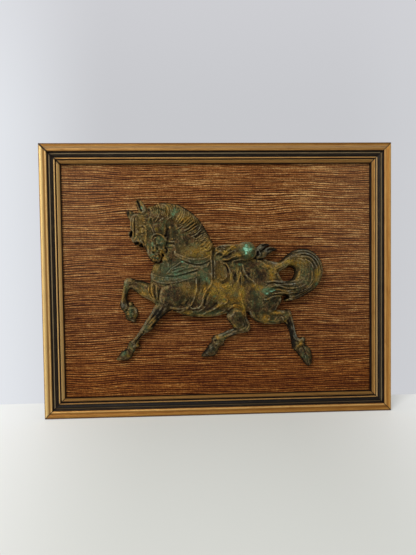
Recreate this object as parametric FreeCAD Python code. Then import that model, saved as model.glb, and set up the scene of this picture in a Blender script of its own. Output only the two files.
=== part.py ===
import FreeCAD, Part
import os
from math import asin, cos, degrees, pi, sin

# A framed wall plaque: a cast brass relief of a prancing horse, screwed to a board that is faced
# with grasscloth, in a mitred gilt and black wooden frame, with two hinged rings on the back.
# Lengths in millimetres, angles in degrees. +X is to the right of somebody who looks at the
# picture, +Z is up and +Y goes into the wall. The origin is the middle of the underside of the
# bottom rail: across at the frame's middle, and in depth at the front of the grasscloth.

Vec = FreeCAD.Vector

# Frame
frame_width = 400.0
frame_height = 311.0
rail_width = 22.0           # from the outer side to the sight edge
rail_depth = 22.0           # from the crest of the moulding to the rear face
rabbet_width = 6.0          # how far the lip reaches over the board
rabbet_front = 11.0         # from the crest of the moulding back to the rabbet's floor
lip_depth = 8.0             # from the crest of the moulding back to the sight edge

# Front of the moulding from its outer side to its sight edge, in shares of rail_width across
# and of lip_depth back from the crest: gilt cap, black cove with one ridge, gilt bead, black
# groove, gilt lip.
cap_shares = [(0.0, 0.36), (0.018, 0.19), (0.06, 0.055), (0.13, 0.0), (0.2, 0.045),
              (0.275, 0.165), (0.315, 0.13), (0.36, 0.105), (0.395, 0.16), (0.41, 0.3)]
cove_shares = [(0.425, 0.47), (0.48, 0.53), (0.535, 0.46), (0.563, 0.41), (0.59, 0.46),
               (0.645, 0.61), (0.712, 0.66)]
bead_shares = [(0.718, 0.62), (0.732, 0.55), (0.762, 0.51), (0.79, 0.55), (0.804, 0.66)]
groove_shares = [(0.81, 0.81), (0.852, 0.82)]
lip_shares = [(0.858, 0.66), (0.89, 0.62), (0.945, 0.77), (0.98, 0.9), (1.0, 1.0)]

# Corner nails, two in each mitre
nail_leg = 4.6
nail_sheet = 0.6
nail_height = 9.0
nail_sink = 0.8             # below the rear face of the rails
nail_place_shares = [0.26, 0.6]     # along the rear face, of its width

# Board, its facing and what holds them
facing_thickness = 0.8
board_thickness = 3.2
board_gap = 1.0             # all round, in the rabbet
point_width = 8.0
point_grip = 5.0            # driven into the rail
point_reach = 8.0           # over the back of the board
point_sheet = 0.5
points_across_shares = [-0.3, 0.0, 0.3]     # of frame_width, on the long rails
points_up_shares = [-0.22, 0.22]            # of frame_height, on the stiles
cover_thickness = 0.3
cover_inset = 3.0

# Horse: its outline is measured in modules, and a module is a twenty-fourth of its length
horse_length = 240.0
modules_share = 24
horse_relief = 16.0         # from the grasscloth to the front of the barrel
horse_base_share = 15.55    # modules from the middle of the opening down to where tables start
horse_wall = 3.2
cloth_thickness = 1.3       # straps and saddle cloth, proud of the body
hang_share = 0.3            # of a form's height: how far its widest line stands off the board
boss_radius = 5.0
pilot_depth = 8.0
fixing_shares = [(-4.4, 14.6), (5.1, 14.3), (-4.6, 20.6)]

# Screws
horse_screw_radius = 1.8
horse_head_radius = 3.4
horse_head_height = 2.2
washer_radius = 5.0
washer_thickness = 1.0
thread_gap = 0.05
shank_gap = 0.3
screw_tip_gap = 0.8         # left under a screw's tip

# Strap hangers and their rings
hanger_inset = 10.0         # from the frame's side to the middle of the strap
ring_height_share = 0.7     # of frame_height
strap_width = 10.0
strap_sheet = 1.0           # the strap is folded double
strap_length = 31.0
fold_run = 4.4              # from the ring's bar down to where the fold lies flat
wire_radius = 1.0
bar_gap = 0.08              # round the ring's bar in the strap's eye
ring_span = 16.0            # between the middles of the two legs
ring_reach = 12.0           # from the bar to the middle of the bow
ring_rest_gap = 0.15
hanger_screw_radius = 1.5
hanger_head_radius = 2.9
hanger_head_height = 1.7
hanger_screw_length = 9.0
screw_drops = [18.6, 26.4]  # from the ring's bar down to each screw

# Wall bumpers
bumper_radius = 5.5
bumper_height = 5.0
bumper_inset = 10.0

overrun = 5.0               # past the faces, for every cut

# Places that follow from the sizes above
front_y = -rabbet_front
rear_y = front_y + rail_depth
board_front = facing_thickness
board_rear = board_front + board_thickness
cover_rear = rear_y + cover_thickness
back_width = rail_width - rabbet_width
module = horse_length / modules_share
horse_base = frame_height / 2 - horse_base_share * module
middle_z = frame_height / 2
bar_y = cover_rear + strap_sheet + wire_radius + bar_gap
bar_z = frame_height * ring_height_share
strap_rear = cover_rear + 2 * strap_sheet
hanger_x = frame_width / 2 - hanger_inset
ring_tilt = degrees(asin((strap_rear + ring_rest_gap + wire_radius - bar_y) / ring_reach))

os.makedirs("parts", exist_ok=True)


def save(shape, node):
    """Write one sub-part."""
    shape.exportStep("parts/" + node + ".step")
    print(node, len(shape.Solids), "solids", round(shape.Volume), "mm3", shape.isValid())


def block(low, high):
    """A box between two corners."""
    size = high.sub(low)
    return Part.makeBox(size.x, size.y, size.z, low)


def rod(radius, start, end):
    """A round bar between two points."""
    run = end.sub(start)
    return Part.makeCylinder(radius, run.Length, start, run)


def both(solids):
    """Separate solids in one sub-part."""
    return Part.makeCompound(solids)


def prism(points, low_y, high_y):
    """A straight-sided outline of (x, z) points, carried from low_y to high_y."""
    corners = [Vec(x, low_y, z) for x, z in points]
    outline = Part.makePolygon(corners + corners[:1])
    return Part.Face(outline).extrude(Vec(0, high_y - low_y, 0))


# Frame moulding

def moulding_points(shares):
    """Points on the moulding's front, as (across from the outer side, y)."""
    return [(u * rail_width, front_y + v * lip_depth) for u, v in shares]


def moulding_face(place):
    """The moulding's section; place(across, y) says where a point of it goes."""
    runs = [cap_shares, cove_shares, bead_shares, groove_shares, lip_shares]
    edges = []
    last = None
    for run in runs:
        points = [place(u, y) for u, y in moulding_points(run)]
        if last is not None:
            edges.append(Part.makeLine(last, points[0]))
        if len(points) > 2:
            curve = Part.BSplineCurve()
            curve.interpolate(points)
            edges.append(curve.toShape())
        else:
            edges.append(Part.makeLine(points[0], points[1]))
        last = points[-1]
    corners = [last, place(rail_width, 0), place(back_width, 0), place(back_width, rear_y),
               place(0, rear_y), edges[0].Vertexes[0].Point]
    for start, end in zip(corners, corners[1:]):
        edges.append(Part.makeLine(start, end))
    return Part.Face(Part.Wire(edges))


def mitre_outline(length, side):
    """Half of a rail's outline seen from the front, so that both ends meet at 45 degrees."""
    half = length / 2
    inner = half - rail_width - overrun
    return [(-half, 0), (half, 0), (inner, side * (rail_width + overrun)),
            (-inner, side * (rail_width + overrun))]


def rail_across(outer_z, side):
    """A horizontal rail. outer_z is its outer side, and side says which way the picture lies."""
    half = frame_width / 2
    face = moulding_face(lambda u, y: Vec(-half, y, outer_z + side * u))
    bar = face.extrude(Vec(frame_width, 0, 0))
    outline = [(x, outer_z + z) for x, z in mitre_outline(frame_width, side)]
    return bar.common(prism(outline, front_y - overrun, rear_y + overrun))


def stile_up(outer_x, side):
    """A vertical stile. outer_x is its outer side, and side says which way the picture lies."""
    face = moulding_face(lambda u, y: Vec(outer_x + side * u, y, 0))
    bar = face.extrude(Vec(0, 0, frame_height))
    outline = [(outer_x + z, middle_z + x) for x, z in mitre_outline(frame_height, side)]
    return bar.common(prism(outline, front_y - overrun, rear_y + overrun))


def corner_nails():
    """Bent steel nails, driven across each mitre from the back."""
    nails = []
    half_sheet = nail_sheet / 2
    for side_x in (-1, 1):
        for side_z in (-1, 1):
            for share in nail_place_shares:
                u = share * back_width
                shape = [(u - half_sheet, u - half_sheet), (u + nail_leg, u - half_sheet),
                         (u + nail_leg, u + half_sheet), (u + half_sheet, u + half_sheet),
                         (u + half_sheet, u + nail_leg), (u - half_sheet, u + nail_leg)]
                corner_z = middle_z + side_z * middle_z
                points = [(side_x * (frame_width / 2 - a), corner_z - side_z * b) for a, b in shape]
                rear = rear_y - nail_sink
                nails.append(prism(points, rear - nail_height, rear))
    return both(nails)


def nail_slots():
    """The nails' room in the wood, open to the rear face."""
    slots = []
    for nail in corner_nails().Solids:
        box = nail.BoundBox
        slots.append(nail)
        tail = nail.copy()
        tail.translate(Vec(0, nail_sink, 0))
        slots.append(tail.common(block(Vec(box.XMin, box.YMax, box.ZMin),
                                       Vec(box.XMax, rear_y, box.ZMax))))
    return both(slots)


def framers_points():
    """Flat steel points in the rabbet's wall, behind the board."""
    rear = board_rear + point_sheet
    half = point_width / 2
    wall_x = frame_width / 2 - back_width
    wall_z = middle_z - back_width
    points = []
    for side in (-1, 1):
        for share in points_across_shares:
            x = share * frame_width
            ends = sorted([middle_z + side * (wall_z + point_grip),
                           middle_z + side * (wall_z - point_reach)])
            points.append(block(Vec(x - half, board_rear, ends[0]), Vec(x + half, rear, ends[1])))
        for share in points_up_shares:
            z = middle_z + share * frame_height
            ends = sorted([side * (wall_x + point_grip), side * (wall_x - point_reach)])
            points.append(block(Vec(ends[0], board_rear, z - half), Vec(ends[1], rear, z + half)))
    return both(points)


# Board and covers

def sheet(inset, low_y, high_y):
    """A flat sheet, inset from the frame's outer sides."""
    half = frame_width / 2 - inset
    return block(Vec(-half, low_y, inset), Vec(half, high_y, frame_height - inset))


def fixing_places():
    """Where the horse is screwed to the board, as (x, z)."""
    return [horse_point(x, z) for x, z in fixing_shares]


def fixing_holes(radius, low_y, high_y):
    """Round holes at the horse's fixings."""
    return both([rod(radius, Vec(x, low_y, z), Vec(x, high_y, z)) for x, z in fixing_places()])


def backing_board():
    holes = fixing_holes(horse_screw_radius + shank_gap, -overrun, rear_y)
    return sheet(back_width + board_gap, board_front, board_rear).cut(holes)


def grasscloth_facing():
    holes = fixing_holes(horse_screw_radius + shank_gap, -overrun, rear_y)
    return sheet(back_width + board_gap, 0, board_front).cut(holes)


def dust_cover():
    cover = sheet(cover_inset, rear_y, cover_rear)
    return cover.cut(both(hanger_holes()))


# Horse

# Each row is one section of a form: x and z in modules, half the form's width in modules, and
# how far it stands in front of the board as a share of horse_relief.
trunk_shares = [(-7.8, 15.8, 0.5, 0.5), (-7.5, 15.4, 1.7, 0.75), (-6.2, 15.0, 2.7, 0.92),
                (-4.5, 14.9, 3.1, 1.0), (-2.0, 14.7, 3.4, 1.0), (0.0, 14.75, 3.3, 1.0),
                (2.5, 14.9, 3.0, 0.98), (4.5, 14.9, 3.0, 1.0), (6.0, 14.95, 2.55, 0.92),
                (7.1, 15.1, 1.7, 0.7)]
neck_shares = [(-3.3, 16.8, 3.2, 0.95), (-3.8, 19.5, 2.65, 0.9), (-4.5, 21.5, 2.15, 0.85),
               (-5.6, 22.8, 1.55, 0.8), (-6.9, 23.3, 0.95, 0.72)]
mane_shares = [(-7.2, 23.4, 0.55, 0.8), (-6.2, 23.5, 0.85, 0.95), (-5.0, 23.2, 1.1, 1.0),
               (-3.8, 22.3, 1.2, 1.02), (-2.9, 21.2, 1.15, 1.04), (-2.2, 20.2, 1.0, 1.02),
               (-1.5, 19.4, 0.6, 0.9)]
head_shares = [(-8.1, 23.7, 1.2, 0.7), (-8.0, 22.6, 1.75, 0.86), (-7.9, 21.2, 1.95, 0.95),
               (-7.65, 20.0, 1.6, 0.9), (-7.45, 19.1, 1.1, 0.78), (-7.25, 18.3, 0.85, 0.7),
               (-7.15, 17.75, 0.4, 0.6)]
near_ear_shares = [(-8.55, 23.0, 0.38, 0.8), (-8.7, 23.9, 0.3, 0.78), (-9.0, 24.7, 0.08, 0.6)]
far_ear_shares = [(-9.75, 22.6, 0.3, 0.55), (-10.05, 23.15, 0.25, 0.5), (-10.3, 23.6, 0.08, 0.4)]
raised_arm_shares = [(-7.2, 14.3, 1.25, 0.8), (-8.5, 14.6, 0.95, 0.65), (-9.5, 15.05, 0.75, 0.6),
                     (-10.3, 15.25, 0.68, 0.6), (-10.8, 15.15, 0.35, 0.5)]
raised_shin_shares = [(-10.55, 15.4, 0.42, 0.55), (-10.6, 14.9, 0.5, 0.58),
                      (-10.75, 14.1, 0.36, 0.5), (-10.88, 13.35, 0.36, 0.48),
                      (-10.95, 12.8, 0.48, 0.5), (-10.93, 12.35, 0.36, 0.45)]
raised_hoof_shares = [(-10.95, 12.95, 0.36, 0.45), (-10.55, 12.4, 0.54, 0.5),
                      (-10.25, 11.8, 0.62, 0.5), (-10.05, 11.25, 0.6, 0.48),
                      (-9.93, 10.8, 0.42, 0.42)]
fetlock_tuft_shares = [(-10.6, 12.8, 0.35, 0.45), (-10.1, 12.7, 0.4, 0.48),
                       (-9.6, 12.2, 0.28, 0.45)]
reaching_leg_shares = [(-5.4, 13.7, 1.9, 1.0), (-6.2, 12.6, 1.2, 0.88), (-7.0, 11.7, 0.95, 0.72),
                       (-7.65, 10.85, 0.78, 0.62), (-8.2, 10.15, 0.62, 0.6),
                       (-8.75, 9.45, 0.42, 0.5), (-9.4, 8.75, 0.37, 0.46),
                       (-9.9, 8.1, 0.5, 0.5), (-10.35, 7.5, 0.45, 0.46),
                       (-10.9, 6.98, 0.6, 0.46), (-11.6, 6.6, 0.28, 0.4)]
stifle_shares = [(1.5, 13.2, 1.3, 0.85), (1.9, 12.2, 1.25, 1.0), (2.1, 11.3, 1.15, 0.95),
                 (2.5, 10.6, 0.95, 0.82), (3.0, 9.85, 0.6, 0.7)]
near_shin_shares = [(3.45, 9.95, 0.35, 0.55), (2.9, 9.9, 0.52, 0.66), (2.1, 9.62, 0.46, 0.58),
                    (1.2, 9.3, 0.4, 0.5), (0.3, 8.95, 0.42, 0.48), (-0.3, 8.65, 0.56, 0.52),
                    (-0.65, 8.1, 0.6, 0.5), (-1.1, 7.4, 0.66, 0.48), (-1.85, 6.85, 0.3, 0.4)]
thigh_shares = [(5.0, 15.6, 1.3, 0.9), (5.2, 14.2, 2.0, 1.04), (5.2, 12.9, 2.1, 1.08),
                (5.3, 11.7, 1.8, 1.0), (5.5, 10.75, 1.1, 0.85)]
far_gaskin_shares = [(5.3, 11.4, 1.0, 0.9), (6.4, 11.2, 0.86, 0.78), (7.4, 11.2, 0.78, 0.72),
                     (8.05, 11.2, 0.6, 0.66)]
far_shin_shares = [(7.9, 11.8, 0.3, 0.55), (8.05, 11.1, 0.55, 0.66), (8.25, 10.2, 0.48, 0.56),
                   (8.45, 9.3, 0.4, 0.5), (8.75, 8.55, 0.46, 0.5), (9.15, 7.9, 0.6, 0.52),
                   (9.55, 7.2, 0.58, 0.5), (10.05, 6.4, 0.66, 0.48), (10.4, 5.6, 0.3, 0.4)]
tail_shares = [(6.4, 16.9, 0.5, 0.7), (7.6, 17.45, 0.65, 0.72), (8.65, 17.9, 0.92, 0.8),
               (9.75, 17.75, 1.25, 0.84), (10.55, 17.0, 1.48, 0.86), (10.7, 15.95, 1.45, 0.88),
               (10.1, 14.95, 1.32, 0.86), (9.1, 14.4, 1.18, 0.84), (8.0, 14.3, 1.05, 0.84),
               (6.9, 14.35, 0.95, 0.9), (5.8, 14.3, 0.75, 1.0)]
tail_lock_shares = [(9.6, 13.95, 0.45, 0.6), (8.6, 13.4, 0.35, 0.55), (7.6, 13.05, 0.14, 0.4)]
saddle_shares = [(-0.45, 18.5, 0.6, 0.85), (0.5, 18.55, 0.98, 1.0), (1.5, 18.45, 1.12, 1.04),
                 (2.5, 18.6, 1.22, 1.08), (3.4, 18.85, 1.08, 1.08), (4.2, 18.85, 0.62, 0.98),
                 (4.8, 18.6, 0.4, 0.9)]
upper_bow_shares = [(4.6, 18.6, 0.4, 0.9), (5.2, 19.25, 0.32, 0.8), (5.8, 19.55, 0.1, 0.6)]
lower_bow_shares = [(4.6, 18.5, 0.45, 0.9), (5.6, 18.72, 0.38, 0.82), (6.75, 19.0, 0.1, 0.6)]

# Straps and cloths, each an outline in modules that lies on the body
collar_shares = [(-5.1, 18.95), (-4.1, 18.4), (-2.9, 18.04), (-2.06, 18.04), (-1.0, 18.5),
                 (-0.9, 17.9), (-2.3, 17.38), (-3.14, 17.5), (-4.5, 18.05)]
pennant_shares = [(-5.93, 16.33), (-4.87, 17.33), (-4.17, 17.77), (-3.0, 17.33), (-2.33, 17.17),
                  (-1.1, 17.5), (-2.3, 16.8), (-3.5, 16.5), (-5.0, 16.07)]
breast_strap_shares = [(-7.7, 16.4), (-6.7, 16.1), (-5.2, 15.95), (-3.3, 16.33), (-2.5, 16.55),
                       (-2.5, 16.0), (-3.9, 15.57), (-5.47, 15.27), (-7.0, 15.4), (-7.7, 15.8)]
saddle_cloth_shares = [(-0.9, 18.3), (4.7, 18.2), (4.5, 16.4), (4.3, 14.9), (3.56, 15.7),
                       (3.0, 17.0), (1.9, 17.2), (1.0, 16.0), (0.7, 15.5), (0.0, 15.65),
                       (-0.4, 15.7)]
section_count = 14


def horse_point(x_share, z_share):
    """A place on the horse, from modules to the frame's own (x, z)."""
    return x_share * module, horse_base + z_share * module


def section(x, z, half_width, height, along):
    """A closed section that bulges forward, square to the direction along in the x-z plane."""
    across = (-along[1], along[0])
    middle_y = -hang_share * height
    half_depth = (1 - hang_share) * height
    points = []
    for index in range(section_count):
        turn = 2 * pi * index / section_count
        reach = half_width * cos(turn)
        points.append(Vec(x + across[0] * reach, middle_y - half_depth * sin(turn),
                          z + across[1] * reach))
    curve = Part.BSplineCurve()
    curve.interpolate(Points=points, PeriodicFlag=True)
    return Part.Wire(curve.toShape())


def form(rows, extra=0.0):
    """A smooth solid through the sections in rows; extra makes it thicker, or thinner, all over."""
    places = [horse_point(row[0], row[1]) for row in rows]
    wires = []
    for index, row in enumerate(rows):
        before = places[max(index - 1, 0)]
        after = places[min(index + 1, len(rows) - 1)]
        run = Vec(after[0] - before[0], 0, after[1] - before[1])
        run.normalize()
        x, z = places[index]
        wires.append(section(x, z, row[2] * module + extra, row[3] * horse_relief + extra,
                             (run.x, run.z)))
    return Part.makeLoft(wires, True, False)


def horse_body():
    """Every form of the figure as one solid, flat on the board's side."""
    tables = [neck_shares, thigh_shares, stifle_shares, mane_shares, head_shares,
              saddle_shares, tail_shares, raised_arm_shares, reaching_leg_shares,
              far_gaskin_shares, near_ear_shares, far_ear_shares, raised_shin_shares,
              raised_hoof_shares, fetlock_tuft_shares, near_shin_shares, far_shin_shares,
              tail_lock_shares, upper_bow_shares, lower_bow_shares]
    behind = behind_board()
    body = form(trunk_shares).cut(behind)
    for rows in tables:
        body = body.fuse(form(rows).cut(behind))
    return body


def behind_board():
    """Everything behind the front of the grasscloth."""
    half = frame_width / 2
    return block(Vec(-half, 0, -overrun), Vec(half, 2 * horse_relief, frame_height))


def trappings():
    """Straps and saddle cloth: the outlines, cut to a skin that stands proud of the body."""
    skin = form(trunk_shares, cloth_thickness).fuse(form(neck_shares, cloth_thickness))
    pieces = []
    for shares in (collar_shares, pennant_shares, breast_strap_shares, saddle_cloth_shares):
        outline = prism([horse_point(x, z) for x, z in shares], -2 * horse_relief, 0)
        pieces.append(skin.common(outline))
    return pieces


def hollow():
    """The casting's open back, under the barrel."""
    inner = form(trunk_shares[2:-1], -horse_wall)
    bosses = both([rod(boss_radius, Vec(x, -2 * horse_relief, z), Vec(x, overrun, z))
                   for x, z in fixing_places()])
    return inner.cut(bosses)


def horse_casting():
    casting = horse_body()
    for piece in trappings():
        casting = casting.fuse(piece)
        print("casting", round(casting.Volume), len(casting.Solids))
    casting = casting.cut(hollow())
    print("hollowed", round(casting.Volume), len(casting.Solids))
    return casting.cut(fixing_holes(horse_screw_radius + thread_gap, -pilot_depth, overrun))


def horse_screws():
    """Round-head screws from behind, through the board into the casting's bosses."""
    seat = board_rear + washer_thickness
    screws = []
    for x, z in fixing_places():
        shank = rod(horse_screw_radius, Vec(x, screw_tip_gap - pilot_depth, z), Vec(x, seat, z))
        head = rod(horse_head_radius, Vec(x, seat, z), Vec(x, seat + horse_head_height, z))
        screws.append(shank.fuse(head))
    return both(screws)


def horse_washers():
    washers = []
    for x, z in fixing_places():
        disc = rod(washer_radius, Vec(x, board_rear, z), Vec(x, board_rear + washer_thickness, z))
        hole = rod(horse_screw_radius + shank_gap, Vec(x, 0, z), Vec(x, rear_y, z))
        washers.append(disc.cut(hole))
    return both(washers)


# Hangers

def hanger_screw_places(x):
    return [(x, bar_z - drop) for drop in screw_drops]


def hanger_holes():
    """Pilot holes for the hangers' screws, through the paper into the stiles."""
    return [rod(hanger_screw_radius + thread_gap, Vec(x, strap_rear - hanger_screw_length, z),
                Vec(x, strap_rear, z))
            for side in (-1, 1) for x, z in hanger_screw_places(side * hanger_x)]


def strap_hanger(x):
    """A steel strap folded round the ring's bar, its two leaves flat on the stile."""
    half = strap_width / 2
    eye_radius = wire_radius + bar_gap
    outer_radius = eye_radius + strap_sheet
    leaves = block(Vec(x - half, cover_rear, bar_z - strap_length),
                   Vec(x + half, strap_rear, bar_z))
    outer = rod(outer_radius, Vec(x - half, bar_y, bar_z), Vec(x + half, bar_y, bar_z))
    corners = [Vec(x - half, strap_rear, bar_z - fold_run), Vec(x - half, strap_rear, bar_z),
               Vec(x - half, bar_y + outer_radius, bar_z)]
    fold = Part.Face(Part.makePolygon(corners + corners[:1])).extrude(Vec(strap_width, 0, 0))
    eye = rod(eye_radius, Vec(x - strap_width, bar_y, bar_z), Vec(x + strap_width, bar_y, bar_z))
    holes = [rod(hanger_screw_radius + shank_gap, Vec(a, 0, b), Vec(a, 2 * rear_y, b))
             for a, b in hanger_screw_places(x)]
    return leaves.fuse([outer, fold]).cut([eye] + holes)


def ring_path(x):
    """The middle of the ring's wire: a straight bar, two short legs and a half-round bow."""
    half = ring_span / 2
    corner = 2 * wire_radius
    leg_end = -(ring_reach - half)
    diagonal = corner * cos(pi / 4)

    def at(across, up):
        return Vec(x + across, bar_y, bar_z + up)

    return Part.Wire([
        Part.makeLine(at(corner - half, 0), at(half - corner, 0)),
        Part.Arc(at(half - corner, 0), at(half - corner + diagonal, diagonal - corner),
                 at(half, -corner)).toShape(),
        Part.makeLine(at(half, -corner), at(half, leg_end)),
        Part.Arc(at(half, leg_end), at(0, -ring_reach), at(-half, leg_end)).toShape(),
        Part.makeLine(at(-half, leg_end), at(-half, -corner)),
        Part.Arc(at(-half, -corner), at(corner - half - diagonal, diagonal - corner),
                 at(corner - half, 0)).toShape()])


def d_ring(x):
    """The ring hangs from its bar and rests just clear of the strap."""
    circle = Part.Wire(Part.makeCircle(wire_radius, Vec(x, bar_y, bar_z), Vec(1, 0, 0)))
    path = ring_path(x)
    circle.translate(path.Vertexes[0].Point.sub(Vec(x, bar_y, bar_z)))
    ring = path.makePipeShell([circle], True, False)
    ring.rotate(Vec(x, bar_y, bar_z), Vec(1, 0, 0), ring_tilt)
    return ring


def hanger_screws(x):
    """The two round-head screws of one hanger."""
    screws = []
    for a, b in hanger_screw_places(x):
        tip = strap_rear - hanger_screw_length + screw_tip_gap
        shank = rod(hanger_screw_radius, Vec(a, tip, b), Vec(a, strap_rear, b))
        head = rod(hanger_head_radius, Vec(a, strap_rear, b),
                   Vec(a, strap_rear + hanger_head_height, b))
        screws.append(shank.fuse(head))
    return both(screws)


def wall_bumper(side):
    x = side * (frame_width / 2 - bumper_inset)
    return rod(bumper_radius, Vec(x, cover_rear, bumper_inset),
               Vec(x, cover_rear + bumper_height, bumper_inset))


# The four sides of the frame, with room for what is driven into them

def build_frame():
    wood_cuts = [nail_slots(), framers_points()] + hanger_holes()
    sides = {"frame_bottom_rail": rail_across(0, 1),
             "frame_top_rail": rail_across(frame_height, -1),
             "frame_left_stile": stile_up(-frame_width / 2, 1),
             "frame_right_stile": stile_up(frame_width / 2, -1)}
    for node, side in sides.items():
        save(side.cut(wood_cuts), node)


build_frame()
save(corner_nails(), "corner_nails")
save(framers_points(), "framers_points")
save(backing_board(), "backing_board")
save(grasscloth_facing(), "grasscloth_facing")
save(dust_cover(), "dust_cover")
save(horse_casting(), "horse_casting")
save(horse_screws(), "horse_screws")
save(horse_washers(), "horse_washers")
for name, side in (("left", -1), ("right", 1)):
    save(strap_hanger(side * hanger_x), name + "_strap_hanger")
    save(d_ring(side * hanger_x), name + "_d_ring")
    save(hanger_screws(side * hanger_x), name + "_hanger_screws")
    save(wall_bumper(side), name + "_wall_bumper")
print("ring bar at", hanger_x, bar_y, bar_z, "tilt", ring_tilt)
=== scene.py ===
import math
import bpy
import numpy as np
import openvdb
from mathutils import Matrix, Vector


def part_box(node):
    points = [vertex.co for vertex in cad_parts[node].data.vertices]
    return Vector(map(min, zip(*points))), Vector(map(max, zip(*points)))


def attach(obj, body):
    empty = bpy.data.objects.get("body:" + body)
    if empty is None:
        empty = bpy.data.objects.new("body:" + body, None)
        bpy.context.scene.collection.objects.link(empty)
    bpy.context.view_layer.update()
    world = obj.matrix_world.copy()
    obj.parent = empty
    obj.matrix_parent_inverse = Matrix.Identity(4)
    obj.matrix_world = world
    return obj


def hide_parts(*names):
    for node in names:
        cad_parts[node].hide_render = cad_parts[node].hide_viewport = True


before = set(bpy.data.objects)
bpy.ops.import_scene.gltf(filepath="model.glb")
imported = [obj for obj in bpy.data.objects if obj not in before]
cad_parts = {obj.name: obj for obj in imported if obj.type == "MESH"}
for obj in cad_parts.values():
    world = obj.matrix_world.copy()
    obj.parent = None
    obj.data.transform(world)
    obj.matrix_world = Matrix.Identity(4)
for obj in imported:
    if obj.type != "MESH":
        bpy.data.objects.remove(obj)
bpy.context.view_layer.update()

# The object is a framed relief. Its tables are in millimetres on the picture's plane: x from the
# middle of the frame, z up from its underside, and heights out from the grasscloth's front, which
# is y = 0. Meshes are made in metres.
MM = 0.001
FRAME_WIDTH = 400.0
FRAME_HEIGHT = 311.0
RAIL_WIDTH = 22.0


# Node materials

class Paint:
    """Builds one node material out of sockets and values."""

    def __init__(self, name):
        self.material = bpy.data.materials.new(name)
        self.material.use_nodes = True
        self.tree = self.material.node_tree
        self.shader = self.tree.nodes["Principled BSDF"]

    def node(self, kind, **settings):
        node = self.tree.nodes.new(kind)
        for key, value in settings.items():
            setattr(node, key, value)
        return node

    def put(self, socket, value):
        """Set a socket to a value, or link it to another socket."""
        if isinstance(value, bpy.types.NodeSocket):
            self.tree.links.new(value, socket)
        else:
            socket.default_value = value

    def place(self, scale=(1.0, 1.0, 1.0)):
        """Object coordinates in millimetres, times scale."""
        coordinates = self.node("ShaderNodeTexCoord")
        mapping = self.node("ShaderNodeMapping")
        self.put(mapping.inputs["Vector"], coordinates.outputs["Object"])
        mapping.inputs["Scale"].default_value = [s / MM for s in scale]
        return mapping.outputs["Vector"]

    def axes(self, vector):
        split = self.node("ShaderNodeSeparateXYZ")
        self.put(split.inputs[0], vector)
        return split.outputs[0], split.outputs[1], split.outputs[2]

    def math(self, operation, a, b=0.0, clamp=False):
        node = self.node("ShaderNodeMath", operation=operation, use_clamp=clamp)
        self.put(node.inputs[0], a)
        self.put(node.inputs[1], b)
        return node.outputs[0]

    def plus(self, a, b, clamp=False):
        return self.math("ADD", a, b, clamp)

    def times(self, a, b, clamp=False):
        return self.math("MULTIPLY", a, b, clamp)

    def flip(self, a):
        """1 - a, which turns a mask over."""
        return self.math("SUBTRACT", 1.0, a)

    def noise(self, vector, scale, detail, roughness, distortion=0.0):
        """Noise whose grains are about 1 / scale millimetres across."""
        node = self.node("ShaderNodeTexNoise")
        self.put(node.inputs["Vector"], vector)
        for key, value in (("Scale", scale), ("Detail", detail), ("Roughness", roughness),
                           ("Distortion", distortion)):
            node.inputs[key].default_value = value
        return node.outputs["Fac"]

    def ramp(self, factor, low, high, out_low=0.0, out_high=1.0):
        """A smooth step from out_low to out_high, as factor goes from low to high."""
        node = self.node("ShaderNodeMapRange", interpolation_type="SMOOTHSTEP")
        for key, value in zip(("Value", "From Min", "From Max", "To Min", "To Max"),
                              (factor, low, high, out_low, out_high)):
            self.put(node.inputs[key], value)
        return node.outputs["Result"]

    def mix(self, factor, a, b, blend="MIX"):
        """Mix of two colours, given as (r, g, b) in sRGB or as sockets."""
        node = self.node("ShaderNodeMix", data_type="RGBA", blend_type=blend)
        self.put(node.inputs[0], factor)
        for socket, value in ((node.inputs[6], a), (node.inputs[7], b)):
            self.put(socket, value if isinstance(value, bpy.types.NodeSocket) else colour(value))
        return node.outputs[2]

    def attribute(self, name):
        return self.node("ShaderNodeAttribute", attribute_name=name).outputs["Fac"]

    def bump(self, height, distance, normal=None):
        """Bump of distance millimetres for a height of 1."""
        node = self.node("ShaderNodeBump")
        node.inputs["Strength"].default_value = 1.0
        node.inputs["Distance"].default_value = distance * MM
        self.put(node.inputs["Height"], height)
        if normal is not None:
            self.put(node.inputs["Normal"], normal)
        return node.outputs["Normal"]

    def finish(self, base, roughness, normal=None, metallic=0.0, specular=0.5):
        """Join everything to the shader and give back the material."""
        self.put(self.shader.inputs["Base Color"], base)
        self.put(self.shader.inputs["Roughness"], roughness)
        self.put(self.shader.inputs["Metallic"], metallic)
        if normal is not None:
            self.put(self.shader.inputs["Normal"], normal)
        self.shader.inputs["Specular IOR Level"].default_value = specular
        return self.material


def colour(rgb):
    """An (r, g, b) of 0 to 255, as seen, turned into the renderer's linear values."""
    linear = [(c / 255 / 12.92) if c <= 10 else ((c / 255 + 0.055) / 1.055) ** 2.4 for c in rgb]
    return (*linear, 1.0)


# Mesh helpers

def mesh_object(name, points, faces, material):
    mesh = bpy.data.meshes.new(name)
    mesh.from_pydata(points, [], faces)
    mesh.materials.append(material)
    mesh.polygons.foreach_set("use_smooth", [True] * len(mesh.polygons))
    mesh.update()
    piece = bpy.data.objects.new(name, mesh)
    bpy.context.collection.objects.link(piece)
    return piece


def quad_grid(rows, columns):
    """The numbers of a sheet's points, and the four-sided faces between them."""
    index = np.arange(rows * columns).reshape(rows, columns)
    corners = (index[:-1, :-1], index[:-1, 1:], index[1:, 1:], index[1:, :-1])
    return index, np.stack(corners, -1).reshape(-1, 4)


def add_attribute(piece, name, values):
    data = piece.data.attributes.new(name, "FLOAT", "POINT")
    data.data.foreach_set("value", np.asarray(values, dtype=np.float32))


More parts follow.
